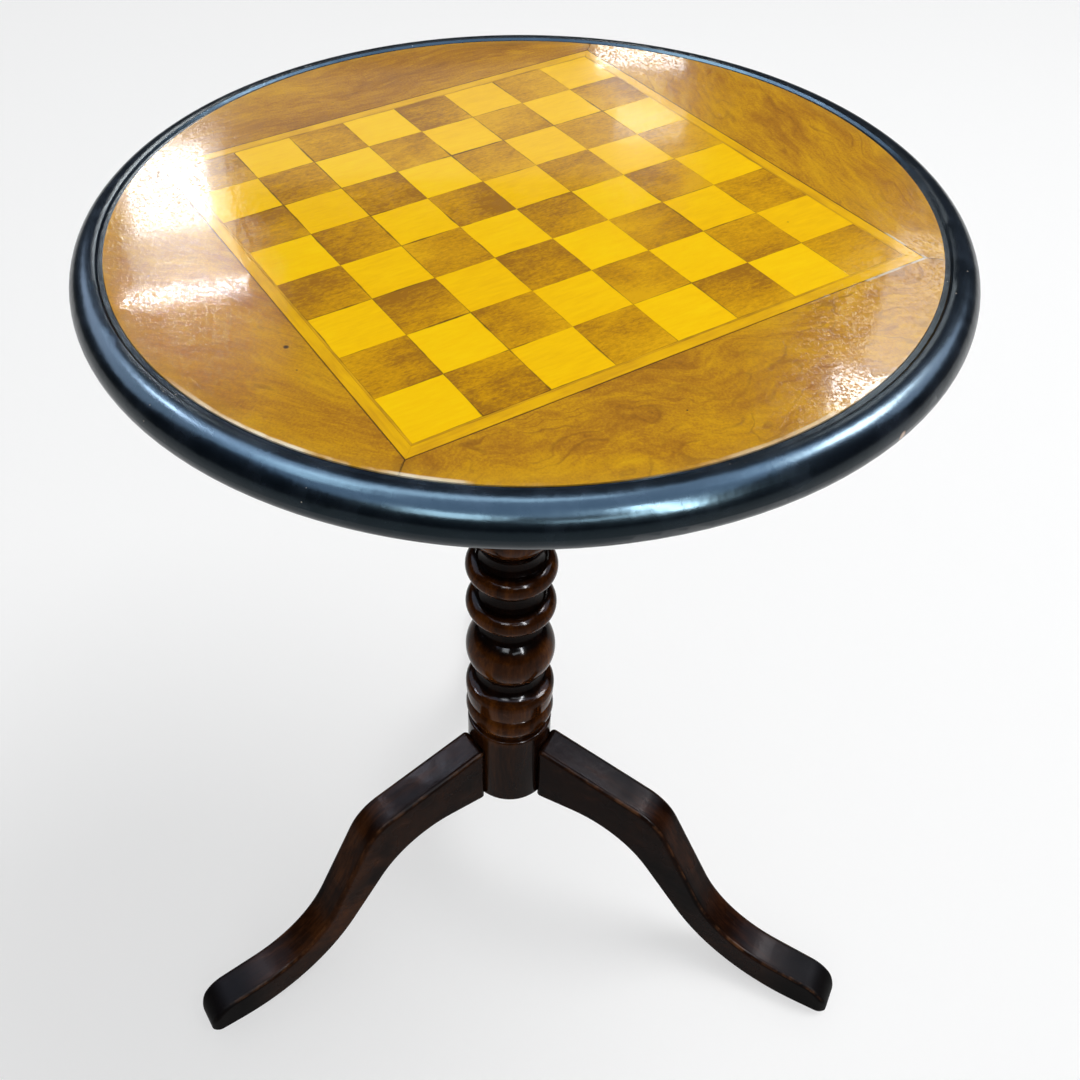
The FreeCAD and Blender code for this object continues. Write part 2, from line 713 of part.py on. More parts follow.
def make_catch_bolt():
    """The sliding bolt, withdrawn, with a sloped nose and a hole for the knob's stem."""
    body = new_body("catch_bolt")
    sketch = new_sketch(body, "Side", role="YZ_Plane")
    low = bolt_middle - S["bolt_thick"] / 2
    high = bolt_middle + S["bolt_thick"] / 2
    back = case_front + S["bolt_long"]
    points = [
        (case_front + S["bolt_nose"], low),
        (back, low),
        (back, high),
        (case_front, high),
        (case_front, bolt_middle),
    ]
    draw_outline(sketch, points)
    pad(body, sketch, S["bolt_wide"], middle=True)
    hole = new_sketch(body, "StemHole", lift=low)
    draw_circle(hole, (ZERO, case_front + S["knob_back"]), S["knob_stem"] + S["pin_seat_fit"])
    pocket(body, hole, S["bolt_thick"] / 2, back=True)
    return body


def make_catch_knob():
    """A turned knob with a stem that is riveted into the bolt."""
    body = new_body("catch_knob")
    sketch = new_sketch(body, "Section", role="XZ_Plane")
    case_under = core_under - S["case_deep"]
    stem_top = bolt_middle - S["pin_seat_fit"]
    knob_top = case_under - S["case_edge"]
    bottom = knob_top - S["knob_drop"]
    waist = S["knob_stem"] * 1.2
    swell = knob_top - S["knob_drop"] / 4
    rim = knob_top - S["knob_drop"] / 2
    points = [
        (ZERO, bottom),
        (S["knob_radius"] - S["case_edge"], bottom),
        (S["knob_radius"], rim),
        (waist, swell),
        (waist, knob_top),
        (S["knob_stem"], knob_top),
        (S["knob_stem"], stem_top),
        (ZERO, stem_top),
    ]
    draw_outline(sketch, points, {1: (S["knob_drop"] / 2, True)})
    revolve(body, sketch)
    body.setExpression("Placement.Base.y", (case_front + S["knob_back"]).text)
    return body


# ---------------------------------------------------------------------------------------------------------
# the block on the column
# ---------------------------------------------------------------------------------------------------------

keeper_middle = block_top - S["keeper_drop"] - S["keeper_tall"] / 2


def make_pivot_block():
    """The block: its front upper edge is rounded about the pins, and its front end is the stop at full tip."""
    body = new_body("pivot_block")
    sketch = new_sketch(body, "Side", role="YZ_Plane")
    reach = S["block_deep"] / 2 - S["tip_gap"]
    front = -S["pivot_forward"] - reach
    points = [
        (front, block_under),
        (S["block_back"], block_under),
        (S["block_back"], block_top),
        (-S["pivot_forward"], block_top),
        (front, pivot_height),
    ]
    draw_outline(sketch, points, {3: (reach, True)})
    solid = pad(body, sketch, S["block_wide"], middle=True)
    lower = edges_where(solid, lambda edge: edge_middle(edge).z < block_under.value + SAME_PLACE)
    round_edges(body, solid, lower, S["block_edge"], "EasedEdges")
    mortise = new_sketch(body, "Mortise", lift=block_under)
    draw_circle(mortise, (ZERO, ZERO), S["tenon_radius"] + S["tenon_fit"])
    pocket(body, mortise, S["block_deep"], back=True)
    for side, role_back in ((-1, True), (1, False)):
        bed = new_sketch(body, f"PinBed{side + 1}", role="YZ_Plane", lift=side * S["block_wide"] / 2)
        draw_circle(bed, (-S["pivot_forward"], pivot_height), S["pin_radius"] + S["pin_seat_fit"])
        pocket(body, bed, S["pin_bed"], back=role_back)
    recess = new_sketch(body, "KeeperBed", role="XZ_Plane", lift=-S["block_back"])
    half = (S["keeper_wide"] / 2 + S["tenon_fit"], S["keeper_tall"] / 2 + S["tenon_fit"])
    low = (-half[0], keeper_middle - half[1])
    draw_outline(recess, rectangle(low, (half[0], keeper_middle + half[1])))
    pocket(body, recess, S["keeper_thick"], back=True)
    throat = new_sketch(body, "Throat", role="XZ_Plane", lift=-S["block_back"])
    draw_outline(throat, keeper_mouth())
    pocket(body, throat, S["bolt_travel"] + S["keeper_thick"], back=True)
    pilots = new_sketch(body, "Pilots", role="XZ_Plane", lift=-S["block_back"])
    for side in (-1, 1):
        place = (side * S["keeper_screw_reach"], keeper_middle)
        draw_circle(pilots, place, S["small_screw_shank"] + S["screw_fit"])
    pocket(body, pilots, S["small_screw_long"] + S["drill_past"], back=True)
    return body


def keeper_mouth():
    """The mouth that takes the bolt's nose."""
    side = S["bolt_wide"] / 2 + S["keeper_slack"]
    deep = S["bolt_thick"] / 2 + S["keeper_slack"]
    return rectangle((-side, bolt_middle - deep), (side, bolt_middle + deep))


def make_keeper_plate():
    """The plate let into the back end of the block."""
    body = new_body("keeper_plate")
    sketch = new_sketch(body, "Plate", role="XZ_Plane", lift=-S["block_back"])
    half = (S["keeper_wide"] / 2, S["keeper_tall"] / 2)
    low = (-half[0], keeper_middle - half[1])
    draw_outline(sketch, rectangle(low, (half[0], keeper_middle + half[1])))
    pad(body, sketch, S["keeper_thick"])
    mouth = new_sketch(body, "Mouth", role="XZ_Plane", lift=-S["block_back"])
    draw_outline(mouth, keeper_mouth())
    pocket(body, mouth, S["keeper_thick"], back=True)
    holes = new_sketch(body, "Holes", role="XZ_Plane", lift=-S["block_back"])
    for side in (-1, 1):
        place = (side * S["keeper_screw_reach"], keeper_middle)
        draw_circle(holes, place, S["small_screw_head"] + S["screw_fit"])
    pocket(body, holes, S["keeper_thick"], back=True)
    return body


def make_keeper_screws():
    """Two screws that hold the keeper plate, their heads flush with its face."""
    body = new_body("keeper_screws")
    parts = {}
    for name in ("Shafts", "Caps", "Slots"):
        parts[name] = new_sketch(body, name, role="XZ_Plane", lift=-S["block_back"])
    for side in (-1, 1):
        place = (side * S["keeper_screw_reach"], keeper_middle)
        draw_circle(parts["Shafts"], place, S["small_screw_shank"])
        draw_circle(parts["Caps"], place, S["small_screw_head"])
        half = (S["small_slot_wide"] / 2, 2 * S["small_screw_head"])
        draw_outline(parts["Slots"], rectangle((place[0] - half[0], place[1] - half[1]),
                                               (place[0] + half[0], place[1] + half[1])))
    pad(body, parts["Shafts"], S["small_screw_long"])
    pad(body, parts["Caps"], S["keeper_thick"])
    pocket(body, parts["Slots"], S["small_slot_deep"], back=True)
    return body


def make_pivot_pins():
    """Two steel pins in the block's ends that the bearers swing on."""
    body = new_body("pivot_pins")
    stand = S["bearer_gap"] + S["bearer_wide"] - S["pin_end_gap"]
    inner = S["block_wide"] / 2 - S["pin_bed"]
    for side in (-1, 1):
        sketch = new_sketch(body, f"Pin{side + 1}", role="YZ_Plane", lift=side * inner)
        draw_circle(sketch, (-S["pivot_forward"], pivot_height), S["pin_radius"])
        pad(body, sketch, S["pin_bed"] + stand, back=side < 0)
    return body


# ---------------------------------------------------------------------------------------------------------
# the column
# ---------------------------------------------------------------------------------------------------------

class Turning:
    """Collects the outline of a turned piece from the foot up, one moulding at a time."""

    def __init__(self, foot):
        self.points = [(ZERO, foot)]
        self.arcs = {}

    @property
    def height(self):
        return self.points[-1][1]

    def line_to(self, radius, height):
        """A straight side to a new point; a point that is already there is not repeated."""
        last = self.points[-1]
        if abs(last[0].value - radius.value) + abs(last[1].value - height.value) > SAME_PLACE:
            self.points.append((radius, height))

    def arc_to(self, radius, height, bend, convex=True):
        """An arc of radius bend to a new point."""
        self.arcs[len(self.points) - 1] = (bend, convex)
        self.points.append((radius, height))

    def drum(self, radius, tall, ease):
        """A plain cylinder with rounded ends."""
        foot = self.height
        self.line_to(radius - ease, foot)
        self.arc_to(radius, foot + ease, ease)
        self.line_to(radius, foot + tall - ease)
        self.arc_to(radius - ease, foot + tall, ease)

    def groove(self, radius, tall):
        """A narrow groove with a flat bottom."""
        foot = self.height
        self.line_to(radius, foot)
        self.line_to(radius, foot + tall)

    def bead(self, radius, bend, end):
        """A rounded moulding that rises from the point under it and falls back to the radius called end."""
        start, foot = self.points[-1]
        middle = foot + half_chord(bend, radius - start)
        self.arc_to(end, middle + half_chord(bend, radius - end), bend)

    def hollow(self, tall, deep):
        """A concave moulding between two equal radii."""
        start, foot = self.points[-1]
        self.arc_to(start, foot + tall, (tall * tall / 4 + deep * deep) / (2 * deep), convex=False)

    def band_up(self, radius, side, over):
        """A broad moulding that swells to its full radius and rounds over; each part has its depth and height."""
        self.line_to(radius - side[0], self.height)
        self.arc_to(radius, self.height + side[1], upright_arc(*side))
        self.arc_to(radius - over[0], self.height + over[1], upright_arc(*over))

    def band_down(self, radius, side, over):
        """The same moulding upside down."""
        self.arc_to(radius, self.height + over[1], upright_arc(*over))
        self.arc_to(radius - side[0], self.height + side[1], upright_arc(*side))

    def shaft(self, low, high, top, cove):
        """A shaft with a cove at each end, its top at a given height."""
        foot = self.height
        self.line_to(low + cove * COVE_FOOT, foot)
        self.arc_to(low, foot + cove * COVE_TALL, cove, convex=False)
        self.line_to(high, top - cove * COVE_TALL)
        self.arc_to(high + cove * COVE_FOOT, top, cove, convex=False)


def half_chord(bend, proud):
    """Half the height of an arc of radius bend where it is cut off at the depth called proud."""
    return (2 * bend * proud - proud * proud).root()


def turn_group(turning):
    """The mouldings over the leg drum: ring, band, ball and bead, then the same upside down."""
    groove, neck = S["groove_radius"], S["neck_radius"]
    ring = (S["ring_radius"], S["ring_bend"], groove)
    side = (S["band_in"], S["band_tall"])
    over = (S["band_round_in"], half_chord(S["band_round"], S["band_round_in"]))
    band = (S["band_radius"], side, over)
    cove = (S["band_cove_tall"], S["band_cove_bend"])
    ball = (S["ball_radius"], S["ball_bend"], neck)
    bead = (S["bead_radius"], S["bead_bend"], neck)
    deep = S["hollow_deep"]
    turning.groove(groove, S["groove_low_tall"])
    turning.bead(*ring)
    turning.groove(groove, S["groove_tall"])
    turning.band_up(*band)
    turning.arc_to(neck, turning.height + cove[0], cove[1], convex=False)
    turning.bead(*ball)
    turning.hollow(S["ball_hollow_tall"], deep)
    turning.bead(*bead)
    turning.hollow(S["bead_hollow_tall"], deep)
    turning.bead(*bead)
    turning.hollow(S["ball_hollow_tall"], deep)
    turning.bead(*ball)
    turning.arc_to(band[0] - over[0], turning.height + cove[0], cove[1], convex=False)
    turning.band_down(*band)
    turning.groove(groove, S["groove_tall"])
    turning.bead(*ring)
    turning.groove(groove, S["groove_low_tall"])


def make_column():
    """The turned column: leg drum, turned group, shaft, collar and tenon, with kerf and sockets cut after."""
    body = new_body("column")
    turning = Turning(S["pillar_foot"])
    turning.drum(S["pillar_radius"], S["pillar_tall"], S["drum_ease"])
    turn_group(turning)
    turning.drum(S["cap_radius"], S["cap_tall"], S["drum_ease"])
    high, cove = S["stem_radius_high"], S["stem_cove"]
    flare = high + cove * COVE_FOOT
    astragal_tall = 2 * half_chord(S["astragal_bend"], S["astragal_radius"] - flare)
    shaft_top = block_under - S["collar_tall"] - S["collar_groove_tall"] - astragal_tall
    turning.shaft(S["stem_radius_low"], high, shaft_top, cove)
    turning.bead(S["astragal_radius"], S["astragal_bend"], flare)
    turning.groove(high, S["collar_groove_tall"])
    turning.drum(S["collar_radius"], S["collar_tall"], S["drum_ease"])
    turning.line_to(S["tenon_radius"], turning.height)
    turning.line_to(S["tenon_radius"], tenon_top)
    turning.line_to(ZERO, tenon_top)
    sketch = new_sketch(body, "Profile", role="XZ_Plane")
    draw_outline(sketch, turning.points, turning.arcs)
    revolve(body, sketch)

    kerf = new_sketch(body, "Kerf", role="YZ_Plane")
    draw_outline(kerf, wedge_outline(S["wedge_fit"]))
    pocket(body, kerf, 4 * S["tenon_radius"], middle=True)

    beyond = S["pillar_radius"] + S["saw_past"]
    flat = new_sketch(body, "Flat", lift=S["pillar_foot"])
    draw_outline(flat, rectangle((-half_seat, leg_shoulder), (half_seat, beyond)))
    planed = pocket(body, flat, S["leg_top"] - S["pillar_foot"], back=True)
    socket = new_sketch(body, "Socket", lift=S["pillar_foot"])
    draw_outline(socket, tongue_outline(S["tongue_fit"], beyond))
    cut = pocket(body, socket, tongue_top + S["tongue_fit"] - S["pillar_foot"], back=True)
    around = body.newObject("PartDesign::PolarPattern", "column_Sockets")
    around.Originals = [planed, cut]
    around.Axis = (sketch, ["V_Axis"])
    around.Angle = 360
    around.Occurrences = 3
    body.Tip = around
    turn_stand(body, 0)
    return body


def turn_stand(body, angle):
    """Set a piece of the stand at an angle round the column's axis, from the stand's own middle line."""
    turned = FreeCAD.Rotation(Z_AXIS, S["stand_turn"].value + angle)
    body.Placement = FreeCAD.Placement(FreeCAD.Vector(0, 0, 0), turned)


def wedge_outline(fit):
    """The side of the wedge; the kerf is the same outline made larger by the fit."""
    head = S["wedge_thick"] / 2 + fit
    tip = S["wedge_tip"] / 2 + fit
    low = tenon_top - S["wedge_long"] - fit
    return [(-tip, low), (tip, low), (head, tenon_top), (-head, tenon_top)]


def make_tenon_wedge():
    """The wedge in the head of the tenon."""
    body = new_body("tenon_wedge")
    sketch = new_sketch(body, "Side", role="YZ_Plane")
    draw_outline(sketch, wedge_outline(ZERO))
    pad(body, sketch, 2 * (S["tenon_radius"] - S["wedge_thick"] / 2), middle=True)
    turn_stand(body, 0)
    return body


# ---------------------------------------------------------------------------------------------------------
# the legs
# ---------------------------------------------------------------------------------------------------------

def tongue_outline(fit, outer):
    """The dovetail in plan, pointing from the column's axis along +Y."""
    inner = leg_shoulder - S["tongue_deep"] - fit
    root = S["tongue_root"] / 2 + fit
    wide = S["tongue_wide"] / 2 + fit
    slope = (wide - root) / S["tongue_deep"]
    mouth = root - slope * (outer - leg_shoulder)
    return [(-wide, inner), (wide, inner), (mouth, outer), (-mouth, outer)]


def leg_corners():
    """The named corners of a leg's side view, from its shoulder round by the underside and back."""
    toe = S["toe_reach"]
    return {
        "Top": (leg_shoulder, S["leg_top"]),
        "Foot": (leg_shoulder, S["pillar_foot"]),
        "Arch": (toe - S["arch_back"], S["arch_height"]),
        "Heel": (toe - S["heel_back"], ZERO),
        "Sole": (toe - S["under_arris"], ZERO),
        "Toe": (toe, S["toe_height"]),
        "Ankle": (toe - S["ankle_back"], S["ankle_height"]),
        "Knee": (toe - S["knee_back"], S["knee_height"]),
    }


def leg_sweeps():
    """The radius that rounds each swept corner; the toe's is held by its own height."""
    return {
        "Arch": S["arch_round"],
        "Heel": S["heel_round"],
        "Ankle": S["ankle_round"],
        "Knee": S["knee_round"],
        "Toe": S["toe_round"].at_most(S["toe_height"]),
    }


def make_leg(label, angle):
    """An S-shaped leg: sawn to its side view, swept, rounded in plan at the toe, softened and dovetailed."""
    body = new_body(label)
    side = new_sketch(body, "Side", role="YZ_Plane")
    corners = leg_corners()
    draw_outline(side, list(corners.values()))
    solid = pad(body, side, S["leg_thick"], middle=True)
    for name, radius in leg_sweeps().items():
        out, up = corners[name]
        corner = FreeCAD.Vector(0, out.value, up.value)
        found = edges_where(solid, lambda edge: is_straight(edge, X_AXIS)
                            and (edge_middle(edge) - corner).Length < SAME_PLACE)
        solid = round_edges(body, solid, found, radius, name)
    for side in (-1, 1):
        nose = new_sketch(body, f"Nose{side + 1}")
        draw_outline(nose, toe_waste(side), {0: (S["toe_corner"], side > 0)})
        solid = pocket(body, nose, S["leg_top"], back=True)
    solid = round_edges(body, solid, edges_where(solid, is_arris), S["arris_round"], "Arris")
    tongue = new_sketch(body, "Tongue", lift=S["pillar_foot"])
    draw_outline(tongue, tongue_outline(ZERO, leg_shoulder))
    pad(body, tongue, tongue_top - S["pillar_foot"])
    turn_stand(body, angle)
    return body


def toe_waste(side):
    """The corner that is cut away at one side of the toe, in plan: along the rounding and back outside it."""
    end = S["toe_reach"]
    bend = S["toe_corner"]
    past = S["saw_past"]
    return [
        (side * half_leg, end - bend),
        (side * (half_leg - bend), end),
        (side * (half_leg - bend), end + past),
        (side * (half_leg + past), end + past),
        (side * (half_leg + past), end - bend),
    ]


def is_arris(edge):
    """True for a long edge between the upper line of a leg and one of its sides, or one round its shoulder."""
    middle = edge_middle(edge)
    if abs(middle.y - leg_shoulder.value) < SAME_PLACE:
        return middle.z > S["pillar_foot"].value + SAME_PLACE
    on_side = abs(abs(middle.x) - half_leg.value) < SAME_PLACE
    return on_side and not is_straight(edge, Z_AXIS) and is_upper(middle)


def is_upper(point):
    """True for a point on the upper line of a leg."""
    corners = [(out.value, up.value) for out, up in leg_corners().values()]
    upper = [corners[0], corners[7], corners[6], corners[5]]
    lower = [corners[1], corners[2], corners[3], corners[4]]
    return distance_to_path(point, upper) < distance_to_path(point, lower)


def distance_to_path(point, path):
    """How far a point lies from a path in the side view."""
    best = math.inf
    for start, end in zip(path, path[1:]):
        run = (end[0] - start[0], end[1] - start[1])
        along = ((point.y - start[0]) * run[0] + (point.z - start[1]) * run[1]) / (run[0] ** 2 + run[1] ** 2)
        along = min(max(along, 0.0), 1.0)
        near = (start[0] + along * run[0], start[1] + along * run[1])
        best = min(best, math.hypot(point.y - near[0], point.z - near[1]))
    return best


# ---------------------------------------------------------------------------------------------------------
# build and write
# ---------------------------------------------------------------------------------------------------------

def build():
    make_top_core()
    make_edge_moulding()
    make_veneers()
    for label, side in (("bearer_left", -1), ("bearer_right", 1)):
        make_bearer(label, side)
    make_bearer_screws()
    make_catch_case()
    make_catch_screws()
    make_catch_spring()
    make_catch_bolt()
    make_catch_knob()
    make_pivot_block()
    make_pivot_pins()
    make_keeper_plate()
    make_keeper_screws()
    make_column()
    make_tenon_wedge()
    for label, angle in (("leg_back", 0), ("leg_left", 120), ("leg_right", 240)):
        make_leg(label, angle)


def check_document():
    """Stop if any object failed or any body has no valid shape."""
    for item in doc.Objects:
        if "Invalid" in item.State or "Error" in item.State:
            raise ValueError(f"{item.Label} failed: {item.State}")
    for body in bodies():
        if body.Shape.isNull() or not body.Shape.isValid():
            raise ValueError(f"{body.Label} has no valid shape")


def bodies():
    return [item for item in doc.Objects if item.TypeId == "PartDesign::Body"]


def write_parts():
    os.makedirs("parts", exist_ok=True)
    for body in bodies():
        body.Shape.exportStep(os.path.join("parts", f"{body.Label}.step"))
        print(body.Label, len(body.Shape.Solids), "solids", round(body.Shape.Volume / 1000, 2), "cm3")


build()
doc.recompute()
check_document()
write_parts()
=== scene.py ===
"""Tilt-top chess table: finishes for its parts, floor, light and camera."""

import logging
import math
from dataclasses import dataclass, replace
from enum import Enum
from typing import Any, Optional, Union

import bmesh
import bpy
from mathutils import Matrix, Vector

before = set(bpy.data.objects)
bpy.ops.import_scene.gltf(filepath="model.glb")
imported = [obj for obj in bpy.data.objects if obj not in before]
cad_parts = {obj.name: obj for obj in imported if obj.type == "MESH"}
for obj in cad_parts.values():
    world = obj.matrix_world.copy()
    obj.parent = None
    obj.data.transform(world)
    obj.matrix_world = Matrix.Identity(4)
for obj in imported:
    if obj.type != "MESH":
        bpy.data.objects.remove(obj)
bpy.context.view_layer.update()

log = logging.getLogger("chess_table")

Triple = tuple[float, float, float]
Colour = Triple
Span = tuple[float, float]
Stops = list[tuple[float, Colour]]

X, Y, Z = 0, 1, 2

# metres: height of the playing surface, side of a square, middle of the board to the outside of its string,
# and radius of the veneered field
TOP_FACE = 0.716
SQUARE = 0.0413
STRING_OUTSIDE = 0.1742
FIELD_RADIUS = 0.2575

LIGHT_TONES = ((0.77, 0.41, 0.003), (0.88, 0.515, 0.0015), (0.92, 0.60, 0.003))
DARK_TONES = ((0.31, 0.134, 0.010), (0.52, 0.252, 0.005), (0.68, 0.36, 0.005))

# sockets of a Mix node that are used when it mixes colours
MIX_SHARE, MIX_FIRST, MIX_SECOND, MIX_RESULT = 0, 6, 7, 2


# --- shader nodes ---

class Wire:
    """A node's output, with the arithmetic that adds Math nodes to it."""

    def __init__(self, graph: "Graph", socket: bpy.types.NodeSocket) -> None:
        """Keep the graph that the output belongs to."""
        self.graph = graph
        self.socket = socket

    def _math(self, operation: str, *terms: "Operand") -> "Wire":
        """A Math node over some terms."""
        return self.graph.node("ShaderNodeMath", {"operation": operation}, dict(enumerate(terms)))

    def __add__(self, other: "Operand") -> "Wire":
        """The sum."""
        return self._math("ADD", self, other)

    def __radd__(self, other: "Operand") -> "Wire":
        """The sum, with this term second."""
        return self._math("ADD", other, self)

    def __sub__(self, other: "Operand") -> "Wire":
        """The difference."""
        return self._math("SUBTRACT", self, other)

    def __rsub__(self, other: "Operand") -> "Wire":
        """The difference, with this term second."""
        return self._math("SUBTRACT", other, self)

    def __mul__(self, other: "Operand") -> "Wire":
        """The product."""
        return self._math("MULTIPLY", self, other)

    def __rmul__(self, other: "Operand") -> "Wire":
        """The product, with this term second."""
        return self._math("MULTIPLY", other, self)

    def __truediv__(self, other: "Operand") -> "Wire":
        """The quotient."""
        return self._math("DIVIDE", self, other)

    def __pow__(self, other: "Operand") -> "Wire":
        """The power."""
        return self._math("POWER", self, other)

    def __abs__(self) -> "Wire":
        """The size without its sign."""
        return self._math("ABSOLUTE", self)

    def floor(self) -> "Wire":
        """The whole number below."""
        return self._math("FLOOR", self)

    def fraction(self) -> "Wire":
        """What is left over the whole number below."""
        return self._math("FRACT", self)

    def smaller(self, other: "Operand") -> "Wire":
        """The smaller of two values."""
        return self._math("MINIMUM", self, other)

    def larger(self, other: "Operand") -> "Wire":
        """The larger of two values."""
        return self._math("MAXIMUM", self, other)

    def sway(self, amount: float) -> "Wire":
        """How far it lies from one half, times an amount."""
        return (self - 0.5) * amount

    def over(self, level: float) -> "Wire":
        """How far it lies over a level, or 0 where it is under it."""
        return (self - level).larger(0.0)

    def to_joint(self) -> "Wire":
        """How far it is from the nearest whole number."""
        return 0.5 - abs(self.fraction() - 0.5)

    def rise(self, low: float, high: float) -> "Wire":
        """A smooth step from 0 at low to 1 at high; with high under low it falls instead.

        Args:
            low: where the step starts.
            high: where it ends.

        Returns:
            The step's value, between 0 and 1.
        """
        return self.graph.node(
            "ShaderNodeMapRange",
            {"interpolation_type": "SMOOTHSTEP"},
            {"Value": self, "From Min": low, "From Max": high},
        )


Operand = Union[Wire, float]
Feed = Union[Wire, float, Colour]


@dataclass(frozen=True)
class Grain:
    """A soft random variation: how fine and how rough it is, how far it bends, and how it is drawn out."""

    scale: float
    detail: float = 3.0
    rough: float = 0.5
    bend: float = 0.0
    drawn: Optional[Triple] = None


@dataclass(frozen=True)
class Spot:
    """A place on the table, and how far what lies there reaches."""

    place: Triple
    size: float


class Graph:
    """The node tree of one material, with short ways to the nodes that the finishes share."""

    spot_heart = 0.4

    def __init__(self, name: str) -> None:
        """Start an empty material.

        Args:
            name: its name.
        """
        self.material = bpy.data.materials.new(name)
        self.material.use_nodes = True
        self.tree = self.material.node_tree
        self.tree.nodes.clear()

    @classmethod
    def of_world(cls, world: bpy.types.World) -> "Graph":
        """Take a world's node tree and empty it.

        Args:
            world: the world, which uses nodes.

        Returns:
            The graph, which has no material.
        """
        graph = cls.__new__(cls)
        graph.tree = world.node_tree
        graph.tree.nodes.clear()
        return graph

    def node(
        self,
        kind: str,
        settings: Optional[dict[str, Any]] = None,
        sockets: Optional[dict[Any, Feed]] = None,
        output: Union[int, str] = 0,
    ) -> Wire:
        """Add a node.

        Args:
            kind: the node's type.
            settings: its own settings, set first; stops are those of a colour ramp.
            sockets: values or links for its inputs, by name or number.
            output: which of its outputs is meant.

        Returns:
            That output.
        """
        made = self.tree.nodes.new(kind)
        for name, value in (settings or {}).items():
            if name == "stops":
                self._set_stops(made.color_ramp, value)
            else:
                setattr(made, name, value)
        for key, value in (sockets or {}).items():
            self._feed(made.inputs[key], value)
        return Wire(self, made.outputs[output])

    def _feed(self, socket: bpy.types.NodeSocket, value: Feed) -> None:
        """Link a wire to an input, or set the input's own value.

        Args:
            socket: the input.
            value: the wire, number, vector or colour for it.
        """
        if isinstance(value, Wire):
            self.tree.links.new(value.socket, socket)
        elif socket.type == "RGBA":
            socket.default_value = (*value, 1.0)
        else:
            socket.default_value = value

    @staticmethod
    def _set_stops(ramp: bpy.types.ColorRamp, stops: Stops) -> None:
        """Give a ramp its stops.

        Args:
            ramp: the ramp, which has two stops to start with.
            stops: the place and the colour of each.
        """
        while len(ramp.elements) < len(stops):
            ramp.elements.new(1.0)
        for element, (place, colour) in zip(ramp.elements, stops):
            element.position = place
            element.color = (*colour, 1.0)

    def place(self, turn: float = 0.0, shift: Triple = (0.0, 0.0, 0.0)) -> Wire:
        """The object's own coordinates in metres.

        Args:
            turn: how many degrees they are turned about Z.
            shift: what is added to them after that.

        Returns:
            The coordinates.
        """
        coordinates = self.node("ShaderNodeTexCoord", output="Object")
        if not turn and not any(shift):
            return coordinates
        return self._turned(coordinates, turn, shift)

    def normal_axis(self, index: int, turn: float = 0.0) -> Wire:
        """One part of the surface's direction in the object's own frame.

        Args:
            index: which part.
            turn: how many degrees the direction is turned about Z first.

        Returns:
            That part, between -1 and 1.
        """
        normal = self.node("ShaderNodeTexCoord", output="Normal")
        return self.axis(self._turned(normal, turn) if turn else normal, index)

    def _turned(self, vector: Wire, turn: float, shift: Triple = (0.0, 0.0, 0.0)) -> Wire:
        """A vector turned by some degrees about Z, then shifted."""
        settings = {"Vector": vector, "Rotation": (0.0, 0.0, math.radians(turn)), "Location": shift}
        return self.node("ShaderNodeMapping", {}, settings)

    def axis(self, vector: Wire, index: int) -> Wire:
        """One part of a vector."""
        return self.node("ShaderNodeSeparateXYZ", {}, {0: vector}, index)

    def join(self, x: Operand, y: Operand, z: Operand) -> Wire:
        """A vector from three values."""
        return self.node("ShaderNodeCombineXYZ", {}, {0: x, 1: y, 2: z})

    def shifted(self, vector: Wire, by: Wire) -> Wire:
        """The sum of two vectors."""
        return self.node("ShaderNodeVectorMath", {"operation": "ADD"}, {0: vector, 1: by})

    def scaled(self, vector: Wire, by: Operand) -> Wire:
        """A vector times a number."""
        return self.node("ShaderNodeVectorMath", {"operation": "SCALE"}, {0: vector, "Scale": by})

    def stretched(self, vector: Wire, by: Triple) -> Wire:
        """A vector times another, part by part."""
        return self.node("ShaderNodeVectorMath", {"operation": "MULTIPLY"}, {0: vector, 1: by})

    def out(self, vector: Wire) -> Wire:
        """The distance from the Z axis."""
        x, y = self.axis(vector, X), self.axis(vector, Y)
        return (x * x + y * y) ** 0.5

    def near(self, vector: Wire, spot: Spot) -> Wire:
        """1 in the heart of a spot, falling to 0 where the spot ends."""
        sockets = {0: vector, 1: spot.place}
        away = self.node("ShaderNodeVectorMath", {"operation": "DISTANCE"}, sockets, "Value")
        return away.rise(spot.size, spot.size * self.spot_heart)

    def noise(self, vector: Wire, grain: Grain, output: Union[int, str] = 0) -> Wire:
        """Soft random variation between 0 and 1, around one half.

        Args:
            vector: the coordinates that it lies on.
            grain: how fine it is and how it is drawn out.
            output: 0 for one value, or Color for three independent ones.

        Returns:
            The variation.
        """
        return self.node(
            "ShaderNodeTexNoise",
            {},
            {
                "Vector": vector if grain.drawn is None else self.stretched(vector, grain.drawn),
                "Scale": grain.scale,
                "Detail": grain.detail,
                "Roughness": grain.rough,
                "Distortion": grain.bend,
            },
            output,
        )

    def drift(self, vector: Wire, grain: Grain, reach: float) -> Wire:
        """A random vector up to reach metres long in each part, that bends the figure it is added to."""
        return self.scaled(self.noise(vector, grain, "Color"), reach)

    def chance(self, vector: Wire) -> Wire:
        """Three random values that are the same wherever the vector is the same."""
        return self.node("ShaderNodeTexWhiteNoise", {"noise_dimensions": "3D"}, {"Vector": vector}, "Color")

    def cells(self, vector: Wire, scale: float) -> Wire:
        """The distance from the nearest of a set of scattered points, in units of their spacing."""
        return self.node("ShaderNodeTexVoronoi", {"feature": "F1"}, {"Vector": vector, "Scale": scale})

    def blend(self, first: Union[Wire, Colour], second: Union[Wire, Colour], share: Operand) -> Wire:
        """Two colours mixed, where share is the part of the second."""
        sockets = {MIX_SHARE: share, MIX_FIRST: first, MIX_SECOND: second}
        return self.node("ShaderNodeMix", {"data_type": "RGBA"}, sockets, MIX_RESULT)

